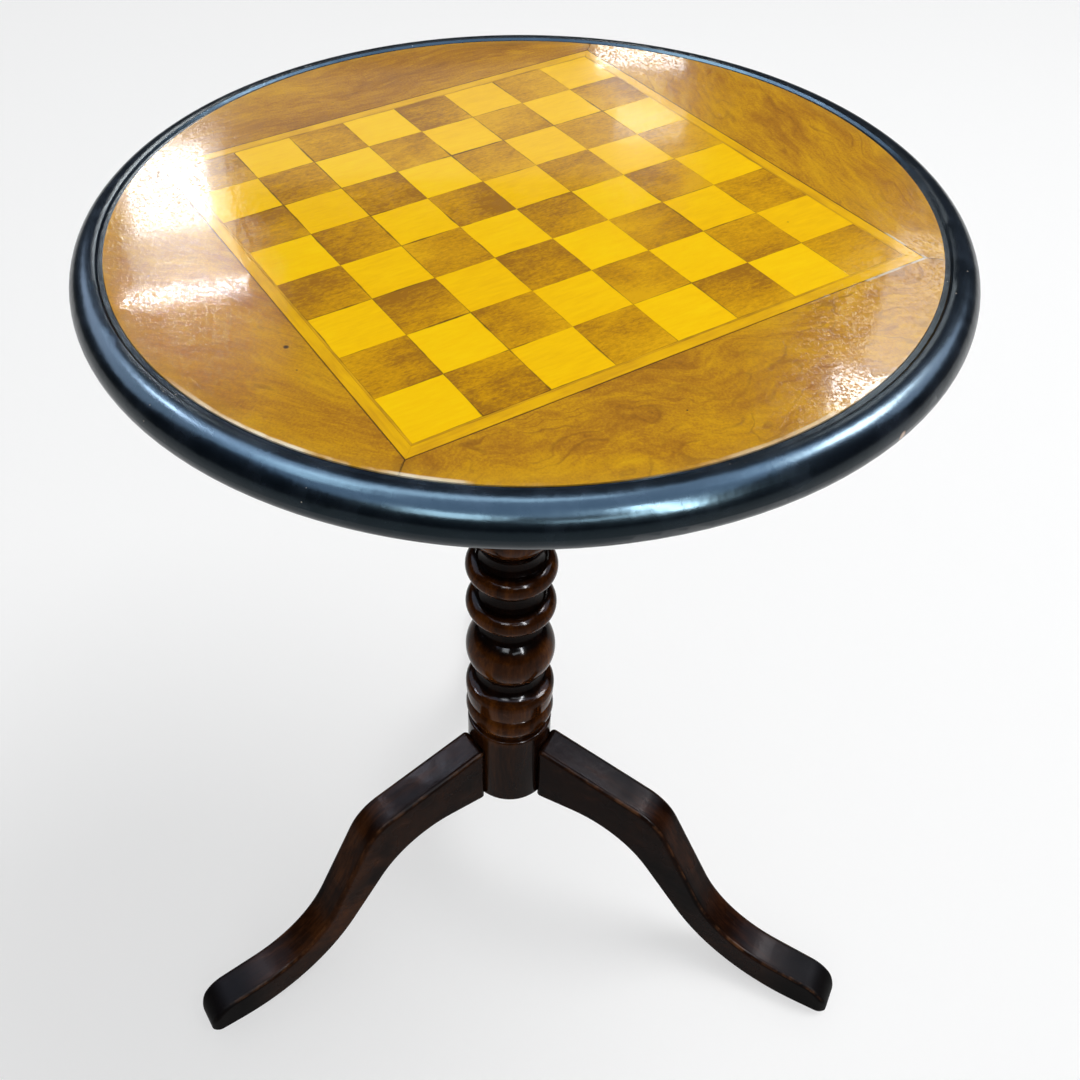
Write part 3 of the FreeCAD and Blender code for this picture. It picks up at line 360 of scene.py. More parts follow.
    def ramp(self, value: Wire, stops: Stops) -> Wire:
        """A colour that follows a value through some stops."""
        return self.node("ShaderNodeValToRGB", {"stops": stops}, {0: value})

    def relief(self, height: Wire, deep: float, under: Optional[Wire] = None) -> Wire:
        """The surface's direction over a relief.

        Args:
            height: the relief, from 0 to 1.
            deep: how many metres that is.
            under: the direction that the relief lies on, where it isn't the mesh's own.

        Returns:
            The direction.
        """
        sockets: dict[Any, Feed] = {"Height": height, "Distance": deep, "Strength": 1.0}
        if under is not None:
            sockets["Normal"] = under
        return self.node("ShaderNodeBump", {}, sockets)

    def finish(self, **sockets: Feed) -> bpy.types.Material:
        """Close the material with a Principled BSDF.

        Args:
            sockets: its inputs, with underscores for the spaces in their names.

        Returns:
            The material.
        """
        named = {key.replace("_", " "): value for key, value in sockets.items()}
        return self.close(self.node("ShaderNodeBsdfPrincipled", {}, named))

    def close(self, surface: Wire) -> bpy.types.Material:
        """Close the material with any shader."""
        end = self.tree.nodes.new("ShaderNodeOutputMaterial")
        self.tree.links.new(surface.socket, end.inputs["Surface"])
        return self.material


# --- finishes of the top ---

@dataclass(frozen=True)
class Polish:
    """French polish on a flat face: a clear coat over wood whose open grain breaks up what it reflects."""

    open_grain: float
    roughness: float = 0.052
    specular: float = 0.34
    pits: Grain = Grain(520.0, 4.0, 0.7)
    pore_from: float = 0.50
    pore_gain: float = 4.0
    pore_depth: float = 0.000016
    waves: Grain = Grain(24.0, 2.0)
    wave_depth: float = 0.00005
    brush: Grain = Grain(130.0, 3.0, 0.6, drawn=(0.35, 1.0, 1.0))
    brush_depth: float = 0.00001
    fibre_depth: float = 0.000007
    patches: Grain = Grain(90.0, 3.0, 0.6)
    patch_rough: float = 0.09

    def over(self, graph: Graph, coordinates: Wire, colour: Wire, fibres: Wire) -> bpy.types.Material:
        """Close a flat face's material.

        Args:
            graph: the graph that holds the colour.
            coordinates: the object's own coordinates.
            colour: the wood's colour.
            fibres: the fine figure, which the polish has sunk into.

        Returns:
            The material.
        """
        pores = graph.noise(coordinates, self.pits).over(self.pore_from) * self.pore_gain
        direction = graph.relief(graph.noise(coordinates, self.waves), self.wave_depth)
        direction = graph.relief(graph.noise(coordinates, self.brush), self.brush_depth, direction)
        direction = graph.relief(pores, self.pore_depth * (0.4 + self.open_grain), direction)
        direction = graph.relief(fibres, self.fibre_depth * (0.3 + self.open_grain), direction)
        patches = graph.noise(coordinates, self.patches).sway(self.patch_rough)
        rough = self.roughness + patches + pores * (0.08 + self.open_grain * 0.10)
        return graph.finish(
            Base_Color=colour, Roughness=rough, Specular_IOR_Level=self.specular, Normal=direction
        )


@dataclass(frozen=True)
class BoardVeneer:
    """Veneer of one colour of squares, in a deep, a middle and a bright tone; each square has its own."""

    name: str
    tones: tuple[Colour, Colour, Colour]
    contrast: float
    mottle: float
    tone_spread: float = 0.48
    fate_reach: float = 7.0
    fibres: Grain = Grain(420.0, 4.0, 0.65, 0.3, (1.0, 0.14, 1.0))
    bands: Grain = Grain(80.0, 3.0, 0.55, 1.0, (1.0, 0.26, 1.0))
    clouds: Grain = Grain(30.0, 2.0, 0.5, 0.6)
    flecks: Grain = Grain(620.0, 3.0, 0.7, 0.4, (1.0, 0.5, 1.0))
    wear: Grain = Grain(26.0, 3.0, 0.6)
    dirt: Colour = (0.075, 0.036, 0.010)
    joint_width: float = 0.00022
    joint_widening: float = 0.0034
    hole_tone: Colour = (0.09, 0.045, 0.015)
    hole_scale: float = 46.0

    def material(self) -> bpy.types.Material:
        """Build the finish."""
        graph = Graph(self.name)
        coordinates = graph.place()
        across = graph.axis(coordinates, X) / SQUARE
        along = graph.axis(coordinates, Y) / SQUARE
        fate = graph.chance(graph.join(across.floor(), along.floor(), 0.0))
        fate_x, fate_y, fate_z = (graph.axis(fate, index) for index in (X, Y, Z))
        own = graph.shifted(coordinates, graph.scaled(fate, self.fate_reach))
        fibres = graph.noise(own, self.fibres)
        slope = (across.fraction() - 0.5) * (fate_x - 0.5) + (along.fraction() - 0.5) * (fate_z - 0.5)
        figure = (
            fibres.sway(1.25 - self.mottle * 0.4)
            + graph.noise(own, self.bands).sway(0.75)
            + graph.noise(own, self.clouds).sway(0.9) * self.mottle
            + graph.noise(own, self.flecks).sway(1.5) * self.mottle
            + slope * 1.1 * self.mottle
        )
        level = 0.5 + figure * self.contrast + fate_y.sway(self.tone_spread) * self.contrast
        colour = graph.ramp(level, list(zip((0.15, 0.5, 0.85), self.tones)))
        colour = self._dirty_joints(graph, coordinates, colour, across.to_joint().smaller(along.to_joint()))
        holes = graph.cells(coordinates, self.hole_scale).rise(0.055, 0.03) * fate_z.over(0.55) * 1.8
        colour = graph.blend(colour, self.hole_tone, holes)
        return Polish(open_grain=0.45 + 0.35 * self.mottle).over(graph, coordinates, colour, fibres)

    def _dirty_joints(self, graph: Graph, coordinates: Wire, colour: Wire, to_joint: Wire) -> Wire:
        """Dirt in the joints, which have opened more in some places than in others.

        Args:
            graph: the graph to build in.
            coordinates: the object's own coordinates.
            colour: the colour so far.
            to_joint: the distance from the nearest joint, in squares.

        Returns:
            The colour with the joints.
        """
        worn = graph.noise(coordinates, self.wear)
        width = self.joint_width + worn.over(0.46) * self.joint_widening
        joint = (to_joint * SQUARE / width).rise(1.0, 0.3)
        return graph.blend(colour, self.dirt, joint * (0.12 + worn.over(0.36) * 2.2).smaller(0.9))


class Figure(Enum):
    """How the figure of a veneer lies."""

    BURR = "burr"
    STREAKED = "streaked"
    CURLED = "curled"
    PLAIN = "plain"


@dataclass(frozen=True)
class Pattern:
    """What a figure is made of: broad waves, fibres or flecks, and thin dark lines over them.

    The lines follow growth rings where rings is given, else they lie where the flecks, or the broad waves,
    pass through a span.
    """

    broad: Grain
    broad_share: float
    fibres: Grain
    fibre_share: float
    line_strength: float
    line_span: Span = (0.0, 0.0)
    rings: Optional[Grain] = None
    ring_count: float = 0.0
    flecks: Optional[Grain] = None
    fleck_share: float = 0.0
    swirl: float = 0.0
    lift: float = 0.0


PATTERNS: dict[Figure, Pattern] = {
    Figure.BURR: Pattern(
        broad=Grain(26.0, 4.0, 0.6, 1.2, (1.0, 0.5, 1.0)),
        broad_share=0.66,
        fibres=Grain(300.0, 3.0, 0.65, drawn=(1.0, 0.25, 1.0)),
        fibre_share=0.34,
        rings=Grain(24.0, 2.0, 0.4, drawn=(1.0, 0.38, 1.0)),
        ring_count=15.0,
        line_strength=0.55,
        swirl=0.030,
    ),
    Figure.CURLED: Pattern(
        broad=Grain(24.0, 4.0, 0.6, 0.8, (1.0, 0.3, 1.0)),
        broad_share=0.64,
        fibres=Grain(300.0, 3.0, 0.65, drawn=(1.0, 0.14, 1.0)),
        fibre_share=0.36,
        rings=Grain(26.0, 2.0, 0.4, drawn=(1.0, 0.22, 1.0)),
        ring_count=14.0,
        line_strength=0.50,
    ),
    Figure.STREAKED: Pattern(
        broad=Grain(26.0, 4.0, 0.6, 0.4, (1.0, 0.22, 1.0)),
        broad_share=0.50,
        fibres=Grain(380.0, 4.0, 0.7, drawn=(1.0, 0.09, 1.0)),
        fibre_share=0.38,
        flecks=Grain(95.0, 3.0, 0.65, drawn=(1.0, 0.45, 1.0)),
        fleck_share=0.14,
        line_span=(0.60, 0.72),
        line_strength=0.45,
    ),
    Figure.PLAIN: Pattern(
        broad=Grain(30.0, 3.0, 0.55, 0.4, (1.0, 0.16, 1.0)),
        broad_share=0.58,
        fibres=Grain(320.0, 3.0, 0.65, drawn=(1.0, 0.10, 1.0)),
        fibre_share=0.38,
        line_span=(0.34, 0.24),
        line_strength=0.35,
        lift=0.03,
    ),
}


@dataclass(frozen=True)
class FieldVeneer:
    """Walnut veneer of one quarter, with its own figure, its mitred seams, its worn corners and a painted
    highlight along the rim.
    """

    name: str
    figure: Figure
    turn: float
    seed: float
    shade: float
    # how strong the painted highlight along the rim is on this quarter
    edge_highlight: float
    brown: Colour = (0.390, 0.170, 0.012)
    gold: Colour = (0.555, 0.282, 0.009)
    dark: Colour = (0.215, 0.086, 0.013)
    bright: Colour = (0.680, 0.400, 0.011)
    contrast: float = 1.45
    specks: Grain = Grain(700.0, 3.0, 0.7)
    warp: Grain = Grain(8.0, 2.0)
    warp_reach: float = 0.060
    swirl: Grain = Grain(22.0, 3.0)
    ring_breaks: Grain = Grain(40.0, 3.0, 0.6)
    wear: Grain = Grain(45.0, 3.0)
    seam_tone: Colour = (0.030, 0.016, 0.009)
    seam_sway: Grain = Grain(160.0, 3.0, 0.6)
    seam_wander: float = 0.0030
    seam_width: float = 0.00042
    seam_widening: float = 0.0026
    string_seam_tone: Colour = (0.07, 0.035, 0.012)
    filler_tone: Colour = (0.62, 0.56, 0.44)
    filler_corner: Spot = Spot((-STRING_OUTSIDE, -0.1500, TOP_FACE), 0.075)
    knock_tone: Colour = (0.055, 0.028, 0.015)
    knock: Spot = Spot((-0.0581, 0.1856, TOP_FACE), 0.0022)
    chip: Spot = Spot((0.1712, 0.1708, TOP_FACE), 0.0062)
    hole_scale: float = 55.0
    hole_zones: Grain = Grain(12.0, 2.0)
    glow_tone: Colour = (0.56, 0.32, 0.03)
    # the painted highlight along the rim: its colour, its breaks, and the two places where it shows
    highlight_tone: Colour = (0.80, 0.70, 0.52)
    highlight_breaks: Grain = Grain(30.0, 3.0, 0.6)
    highlight_back: Spot = Spot((-0.150, 0.209, TOP_FACE), 0.12)
    highlight_left: Spot = Spot((-0.24, -0.02, TOP_FACE), 0.10)

    def material(self) -> bpy.types.Material:
        """Build the finish."""
        graph = Graph(self.name)
        coordinates = graph.place()
        own = graph.place(self.turn, (self.seed, 0.0, 0.0))
        level, fibres, lines = self._figure(graph, own)
        level = level.sway(self.contrast) + 0.5 + graph.noise(own, self.specks).sway(0.5) - self.shade
        stops = [(0.14, self.dark), (0.40, self.brown), (0.62, self.gold), (0.92, self.bright)]
        colour = graph.blend(graph.ramp(level, stops), self.dark, lines)
        out = graph.out(coordinates)
        worn = graph.noise(coordinates, self.wear)
        colour = self._mitres(graph, coordinates, colour, out, worn)
        colour = self._string_seam(graph, coordinates, colour, worn)
        colour = graph.blend(colour, self.knock_tone, self._knocks(graph, coordinates))
        # painted highlight along the rim
        colour = self._paint_edge_highlight(graph, coordinates, colour, out)
        return Polish(open_grain=1.0).over(graph, coordinates, colour, fibres)

    def _figure(self, graph: Graph, own: Wire) -> tuple[Wire, Wire, Wire]:
        """Lay the figure.

        Args:
            graph: the graph to build in.
            own: the quarter's own coordinates, turned to its grain.

        Returns:
            The broad figure, the fibres, and the thin dark lines over them.
        """
        pattern = PATTERNS[self.figure]
        bent = graph.shifted(own, graph.drift(own, self.warp, self.warp_reach))
        if pattern.swirl:
            bent = graph.shifted(bent, graph.drift(own, self.swirl, pattern.swirl))
        broad = graph.noise(bent, pattern.broad)
        fibres = graph.noise(bent, pattern.fibres)
        level = broad * pattern.broad_share
        if pattern.lift:
            level = level + pattern.lift
        level = level + fibres * pattern.fibre_share
        if pattern.rings is not None:
            return level, fibres, self._contours(graph, graph.noise(bent, pattern.rings), own, pattern)
        streaks = broad
        if pattern.flecks is not None:
            streaks = graph.noise(bent, pattern.flecks)
            level = level + streaks * pattern.fleck_share
        return level, fibres, streaks.rise(*pattern.line_span) * pattern.line_strength

    def _contours(self, graph: Graph, rings: Wire, own: Wire, pattern: Pattern) -> Wire:
        """Thin dark lines where the saw has cut through the growth rings, broken here and there."""
        edges = (rings * pattern.ring_count).to_joint().rise(0.16, 0.0)
        return edges * graph.noise(own, self.ring_breaks).rise(0.38, 0.62) * pattern.line_strength

    def _mitres(self, graph: Graph, coordinates: Wire, colour: Wire, out: Wire, worn: Wire) -> Wire:
        """The seams between the quarters: an uneven crack, and a darker band beside it near the rim.

        Args:
            graph: the graph to build in.
            coordinates: the object's own coordinates.
            colour: the colour so far.
            out: the distance from the middle of the top.
            worn: where the seams have opened, from 0 to 1.

        Returns:
            The colour with the seams.
        """
        x, y = graph.axis(coordinates, X), graph.axis(coordinates, Y)
        seam = abs(abs(x) - abs(y) + graph.noise(coordinates, self.seam_sway).sway(self.seam_wander))
        crack = (seam / (self.seam_width + worn.over(0.30) * self.seam_widening)).rise(1.0, 0.35)
        colour = graph.blend(colour, self.seam_tone, crack * 0.92)
        beside = seam.rise(0.012, 0.001) * (out - STRING_OUTSIDE * 1.36).rise(0.0, 0.004)
        return graph.blend(colour, self.dark, beside * 0.45)

    def _string_seam(self, graph: Graph, coordinates: Wire, colour: Wire, worn: Wire) -> Wire:
        """The seam beside the light string, and the pale filler that has crumbled at one corner of it.

        Args:
            graph: the graph to build in.
            coordinates: the object's own coordinates.
            colour: the colour so far.
            worn: where the seam has opened, from 0 to 1.

        Returns:
            The colour with the seam.
        """
        x, y = graph.axis(coordinates, X), graph.axis(coordinates, Y)
        past_string = abs(x).larger(abs(y)) - STRING_OUTSIDE
        seam = (past_string / (0.0002 + worn.over(0.4) * 0.0014)).rise(1.0, 0.2)
        colour = graph.blend(colour, self.string_seam_tone, seam * 0.8)
        crumbs = (past_string / 0.0016).rise(1.0, 0.4) * worn.rise(0.44, 0.56)
        crumbs = crumbs * graph.near(coordinates, self.filler_corner) * 0.8
        return graph.blend(colour, self.filler_tone, crumbs)

    def _knocks(self, graph: Graph, coordinates: Wire) -> Wire:
        """Small dark knocks and pinholes.

        Args:
            graph: the graph to build in.
            coordinates: the object's own coordinates.

        Returns:
            Where they lie, from 0 to 1.
        """
        zones = graph.noise(coordinates, self.hole_zones).rise(0.52, 0.62)
        holes = graph.cells(coordinates, self.hole_scale).rise(0.045, 0.02) * zones
        chip = graph.near(coordinates, self.chip) * 0.8
        return holes.larger(graph.near(coordinates, self.knock)).larger(chip)

    def _paint_edge_highlight(self, graph: Graph, coordinates: Wire, colour: Wire, out: Wire) -> Wire:
        """A painted highlight: a thin pale line just inside the rim, broken here and there, at the back and
        on the left, where the edge of the field catches the light; the wood is also a little more golden
        near the rim.

        Args:
            graph: the graph to build in.
            coordinates: the object's own coordinates.
            colour: the colour so far.
            out: the distance from the middle of the top.

        Returns:
            The colour with the worn edge.
        """
        highlight_noise = graph.noise(coordinates, self.highlight_breaks)
        glow = (out - FIELD_RADIUS + 0.014).rise(0.0, 0.014) * 0.25
        colour = graph.blend(colour, self.glow_tone, glow)
        # painted highlight: a thin pale line just inside the rim, shown only near two places
        line = (out - FIELD_RADIUS + 0.0026 + highlight_noise.sway(0.002)).rise(0.0, 0.0012)
        paler = graph.near(coordinates, self.highlight_back)
        paler = paler.larger(graph.near(coordinates, self.highlight_left) * 0.5)
        return graph.blend(colour, self.highlight_tone, line * highlight_noise.rise(0.34, 0.58) * paler * self.edge_highlight)


@dataclass(frozen=True)
class StringVeneer:
    """A line of veneer round the board, in strips along its sides."""

    name: str
    tone: Colour = (0.76, 0.42, 0.005)
    deep: Colour = (0.58, 0.285, 0.010)
    fibres_x: Grain = Grain(400.0, 3.0, 0.6, drawn=(0.12, 1.0, 1.0))
    fibres_y: Grain = Grain(400.0, 3.0, 0.6, drawn=(1.0, 0.12, 1.0))
    clouds: Grain = Grain(28.0, 3.0)
    mitre: float = 0.0002

    def material(self) -> bpy.types.Material:
        """Build the finish."""
        graph = Graph(self.name)
        coordinates = graph.place()
        x, y = graph.axis(coordinates, X), graph.axis(coordinates, Y)
        along_x = (abs(y) - abs(x)).rise(-self.mitre, self.mitre)
        fibres = (
            graph.noise(coordinates, self.fibres_x) * along_x
            + graph.noise(coordinates, self.fibres_y) * (1.0 - along_x)
        )
        level = fibres * 0.45 + graph.noise(coordinates, self.clouds) * 0.55
        colour = graph.ramp(level, [(0.30, self.deep), (0.56, self.tone)])
        return Polish(open_grain=0.5).over(graph, coordinates, colour, fibres)


@dataclass(frozen=True)
class Ebonised:
    """Black stain under polish, a little blue where it shines, with rubbed specks."""

    name: str
    tone: Colour = (0.0022, 0.0030, 0.0052)
    smear_tone: Colour = (0.014, 0.018, 0.026)
    smears: Grain = Grain(42.0, 3.0, 0.6)
    smear_depth: float = 0.0003
    dust: Grain = Grain(600.0, 3.0, 0.7)
    dust_depth: float = 0.000012
    speck_tone: Colour = (0.42, 0.36, 0.30)
    speck_scale: float = 150.0
    speck_zones: Grain = Grain(20.0, 2.0)
    chip_tone: Colour = (0.62, 0.42, 0.30)
    chips: tuple[Spot, ...] = (
        Spot((-0.2722, -0.0613, 0.7000), 0.0036),
        Spot((-0.2077, 0.1750, 0.6960), 0.0016),
    )
    streaks: Grain = Grain(520.0, 3.0, 0.6)
    streak_depth: float = 0.000022
    streak_sway: Grain = Grain(9.0, 2.0)
    roughness: float = 0.22
    specular: float = 0.25
    shine: Colour = (0.55, 0.85, 1.0)

    def material(self) -> bpy.types.Material:
        """Build the finish."""
        graph = Graph(self.name)
        coordinates = graph.place()
        smears = graph.noise(coordinates, self.smears)
        dust = graph.noise(coordinates, self.dust)
        specks = graph.cells(coordinates, self.speck_scale).rise(0.075, 0.04)
        rare = graph.noise(coordinates, self.speck_zones).rise(0.60, 0.68)
        colour = graph.blend(self.tone, self.smear_tone, smears.rise(0.4, 0.8) * 0.6)
        colour = graph.blend(colour, self.speck_tone, specks * rare)
        for chip in self.chips:
            colour = graph.blend(colour, self.chip_tone, graph.near(coordinates, chip))
        sway = graph.noise(coordinates, self.streak_sway) * 0.006
        round_axis = graph.join(graph.out(coordinates) + sway, graph.axis(coordinates, Z) + sway, 0.0)
        streaks = graph.noise(round_axis, self.streaks)
        direction = graph.relief(smears, self.smear_depth)
        direction = graph.relief(streaks, self.streak_depth, direction)
        direction = graph.relief(dust, self.dust_depth, direction)
        return graph.finish(
            Base_Color=colour,
            Roughness=self.roughness + smears.sway(0.12) + dust.sway(0.06) + streaks.sway(0.10),
            Specular_IOR_Level=self.specular,
            Specular_Tint=self.shine,
            Normal=direction,
        )


# --- finishes of the stand and of what is under the top ---

@dataclass(frozen=True)
class Mahogany:
    """Dark polished mahogany: grain along one direction, grime in patches, darker towards the toes, wear
    where feet pass.
    """

    name: str
    turn: float = 0.0
    dark: Colour = (0.0016, 0.0010, 0.0010)
    tone: Colour = (0.0105, 0.0036, 0.0018)
    bright: Colour = (0.046, 0.014, 0.0045)
    # colour of the rubbed upper edges of a leg
    paler: Colour = (0.20, 0.085, 0.035)
    gloss: float = 0.025
    sheen: float = 0.24
    ripple: float = 0.00030
    dust: float = 0.26
    along: Triple = (1.0, 0.16, 0.22)
    warp: Grain = Grain(7.0, 2.0)
    warp_reach: float = 0.02
    broad: Grain = Grain(45.0, 3.0, 0.55, 0.4)
    fibres: Grain = Grain(380.0, 3.0, 0.6)
    smears: Grain = Grain(55.0, 3.0, 0.6)
    grime_and_shade_patches: Grain = Grain(16.0, 3.0, 0.6)
    toe: Span = (0.245, 0.285)
    rub_breaks: Grain = Grain(60.0, 3.0, 0.65)

    def material(self) -> bpy.types.Material:
        """Build the finish."""
        graph = Graph(self.name)
        own = graph.place(self.turn)
        bent = graph.shifted(own, graph.drift(own, self.warp, self.warp_reach))
        drawn = graph.stretched(bent, self.along)
        fibres = graph.noise(drawn, self.fibres)
        level = graph.noise(drawn, self.broad) * 0.7 + fibres * 0.3
        colour = graph.ramp(level, [(0.30, self.dark), (0.52, self.tone), (0.74, self.bright)])
        # grime in patches and darker towards the toes; on the turned column, painted shade in the hollows
        grime_and_shade = self._grime_and_shade(graph, own)
        colour = graph.blend(colour, self.dark, grime_and_shade)
        colour = graph.blend(colour, self.paler, self._rubs(graph, own))
        smears = graph.noise(graph.place(), self.smears)
        direction = graph.relief(smears, self.ripple)
        return graph.finish(
            Base_Color=colour,
            Roughness=self.sheen + smears.sway(0.14) + fibres.sway(0.06) + grime_and_shade * self.dust,
            Specular_IOR_Level=self.gloss,
            Normal=graph.relief(fibres, self.ripple * 0.1, direction),
        )

    def _grime_and_shade(self, graph: Graph, own: Wire) -> Wire:
        """Where old polish and dust have darkened the wood in patches, and the wood darker towards the
        toes, from 0 to 1.
        """
        patches = graph.noise(own, self.grime_and_shade_patches).rise(0.46, 0.70) * 0.75
        return patches.larger(graph.axis(own, Y).rise(*self.toe) * 0.94)

    def _rubs(self, graph: Graph, own: Wire) -> Wire:
        """Where the upper edges of the leg are rubbed through.

        Args:
            graph: the graph to build in.
            own: the leg's own coordinates.

        Returns:
            How far it is rubbed, from 0 to 1.
        """
        up = graph.normal_axis(Z)
        side = abs(graph.normal_axis(X, self.turn))
        corner = up.rise(0.25, 0.5) * up.rise(0.97, 0.85) * side.rise(0.3, 0.5)
        return corner * graph.noise(own, self.rub_breaks).rise(0.42, 0.68) * 0.42


@dataclass(frozen=True)
class TurnedMahogany(Mahogany):
    """The same on a turned piece, with painted shade in the hollows near the axis and the foot darker."""

    tone: Colour = (0.042, 0.0120, 0.0020)
    bright: Colour = (0.140, 0.042, 0.0050)
    gloss: float = 0.050
    sheen: float = 0.13
    ripple: float = 0.00008
    dust: float = 0.0
    along: Triple = (1.0, 1.0, 0.10)
    grime_and_shade_patches: Grain = Grain(40.0, 3.0, 0.6)
    # radii at which the painted shade starts and at which it is full
    crest: float = 0.0338
    hollow: float = 0.0285
    foot: Span = (0.225, 0.205)
    rub_breaks: Grain = Grain(70.0, 3.0, 0.65)
    widest: Span = (0.0362, 0.0372)

    def _grime_and_shade(self, graph: Graph, own: Wire) -> Wire:
        """Painted shade by the distance from the axis, full in the hollows, and the wood darker all over
        the foot, from 0 to 1.
        """
        # painted shade: the nearer a surface lies to the axis, the darker, so the hollows are dark
        out = graph.out(own) + graph.noise(own, self.grime_and_shade_patches).sway(0.006)
        foot = graph.axis(own, Z).rise(*self.foot)
        return out.rise(self.crest, self.hollow).larger(foot * 0.8) * 0.92

    def _rubs(self, graph: Graph, own: Wire) -> Wire:
        """Small rubbed places on the widest lines, from 0 to 1."""
        broken = graph.noise(own, self.rub_breaks).rise(0.55, 0.75)
        return graph.out(own).rise(*self.widest) * broken * 0.25


@dataclass(frozen=True)
class PlainWood:
    """Unpolished or waxed wood that is out of sight."""

    name: str
    tone: Colour
    deep: Colour
    drawn: Triple = (1.0, 0.06, 1.0)
    warp: Grain = Grain(6.0, 2.0)
    warp_reach: float = 0.02
    fibres: Grain = Grain(330.0, 3.0, 0.6)
    fibre_depth: float = 0.0002
    broad: Grain = Grain(70.0, 3.0)
    roughness: float = 0.55
    specular: float = 0.16

    def material(self) -> bpy.types.Material:
        """Build the finish."""
        graph = Graph(self.name)
        coordinates = graph.place()
        bent = graph.shifted(coordinates, graph.drift(coordinates, self.warp, self.warp_reach))
        drawn = graph.stretched(bent, self.drawn)
        fibres = graph.noise(drawn, self.fibres)
        level = fibres * 0.5 + graph.noise(drawn, self.broad) * 0.5
        return graph.finish(
            Base_Color=graph.blend(self.deep, self.tone, level.rise(0.3, 0.7)),
            Roughness=self.roughness + fibres.sway(0.2),
            Specular_IOR_Level=self.specular,
            Normal=graph.relief(fibres, self.fibre_depth),
        )


@dataclass(frozen=True)
class OldMetal:
    """Brass or steel that has dulled in the air."""

    name: str
    tone: Colour
    tarnish: Colour
    roughness: float = 0.34
    patches: Grain = Grain(160.0, 4.0, 0.65)
    scratches: Grain = Grain(1500.0, 2.0, drawn=(1.0, 0.08, 1.0))
    scratch_depth: float = 0.00002

    def material(self) -> bpy.types.Material:
        """Build the finish."""
        graph = Graph(self.name)
        coordinates = graph.place()
        patches = graph.noise(coordinates, self.patches)
        scratches = graph.noise(coordinates, self.scratches)
        return graph.finish(
            Base_Color=graph.blend(self.tone, self.tarnish, patches.rise(0.42, 0.72)),
            Metallic=1.0,
            Roughness=self.roughness + patches.sway(0.3) + scratches.sway(0.1),
            Normal=graph.relief(scratches, self.scratch_depth),
        )


Finish = Union[BoardVeneer, FieldVeneer, StringVeneer, Ebonised, PlainWood, OldMetal]


# --- sub-assemblies ---

def dress(node: str, material: bpy.types.Material) -> None:
    """Give a CAD node its finish.

    Args:
        node: the node's name.
        material: the finish.
    """
    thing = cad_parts[node]
    if thing.data.materials:
        for index in range(len(thing.data.materials)):
            thing.data.materials[index] = material
    else:
        thing.data.materials.append(material)
    log.info("dressed %s in %s", node, material.name)


def stage_piece(name: str, shape: bmesh.types.BMesh, material: bpy.types.Material) -> bpy.types.Object:
    """Make a part of the set that isn't part of the table.

    Args:
        name: its name.
        shape: its shape, which is used up.
        material: its finish.

    Returns:
        The new object.
    """
    mesh = bpy.data.meshes.new(name)
    shape.to_mesh(mesh)
    shape.free()
    mesh.materials.append(material)
    thing = bpy.data.objects.new(name, mesh)
    bpy.context.scene.collection.objects.link(thing)
    log.info("set out %s", name)
    return thing


@dataclass
class Top:
    """The veneered top with its moulding."""

    finishes: tuple[tuple[str, Finish], ...] = (
        # the last figure of each quarter sets how strong its painted highlight along the rim is
        ("field_left", FieldVeneer("walnut_left", Figure.BURR, 8.0, 3.1, shade=0.02, edge_highlight=0.9)),
        ("field_back", FieldVeneer("walnut_back", Figure.STREAKED, 55.0, 7.7, shade=0.06, edge_highlight=1.0)),
        ("field_front", FieldVeneer("walnut_front", Figure.CURLED, -70.0, 11.3, shade=0.02, edge_highlight=0.2)),
        ("field_right", FieldVeneer("walnut_right", Figure.PLAIN, 6.0, 15.9, shade=0.09, edge_highlight=0.2)),
        ("light_squares", BoardVeneer("light_squares", LIGHT_TONES, contrast=0.50, mottle=0.12)),
        ("dark_squares", BoardVeneer("dark_squares", DARK_TONES, contrast=0.76, mottle=1.0)),
        ("border_strings", StringVeneer("light_string")),
        ("dark_lines", StringVeneer("brown_line", (0.66, 0.35, 0.010), (0.26, 0.115, 0.012))),
        ("edge_moulding", Ebonised("ebonised_moulding")),
        ("top_core", PlainWood("core_wood", (0.22, 0.094, 0.038), (0.105, 0.040, 0.015))),
    )

    def build(self) -> None:
        """Dress the veneers, the lines, the moulding and the core."""
        for node, finish in self.finishes:
            dress(node, finish.material())


@dataclass
class Underwork:
    """The bearers, the block and the catch under the top."""

    groups: tuple[tuple[Finish, tuple[str, ...]], ...] = (
        (
            PlainWood("bearer_wood", (0.19, 0.078, 0.030), (0.085, 0.032, 0.012)),
            ("bearer_left", "bearer_right", "pivot_block"),
        ),
        (
            PlainWood("wedge_wood", (0.40, 0.24, 0.11), (0.26, 0.14, 0.06)),
            ("tenon_wedge",),
        ),
        (
            OldMetal("old_brass", (0.60, 0.43, 0.16), (0.26, 0.17, 0.07)),
            ("catch_case", "catch_screws", "catch_bolt", "catch_knob", "keeper_plate", "keeper_screws"),
        ),
        (
            OldMetal("old_steel", (0.36, 0.35, 0.34), (0.14, 0.12, 0.10)),
            ("pivot_pins", "bearer_screws", "catch_spring"),
        ),
    )

    def build(self) -> None:
        """Dress the wood and the metal."""
        for finish, nodes in self.groups:
            material = finish.material()
            for node in nodes:
                dress(node, material)


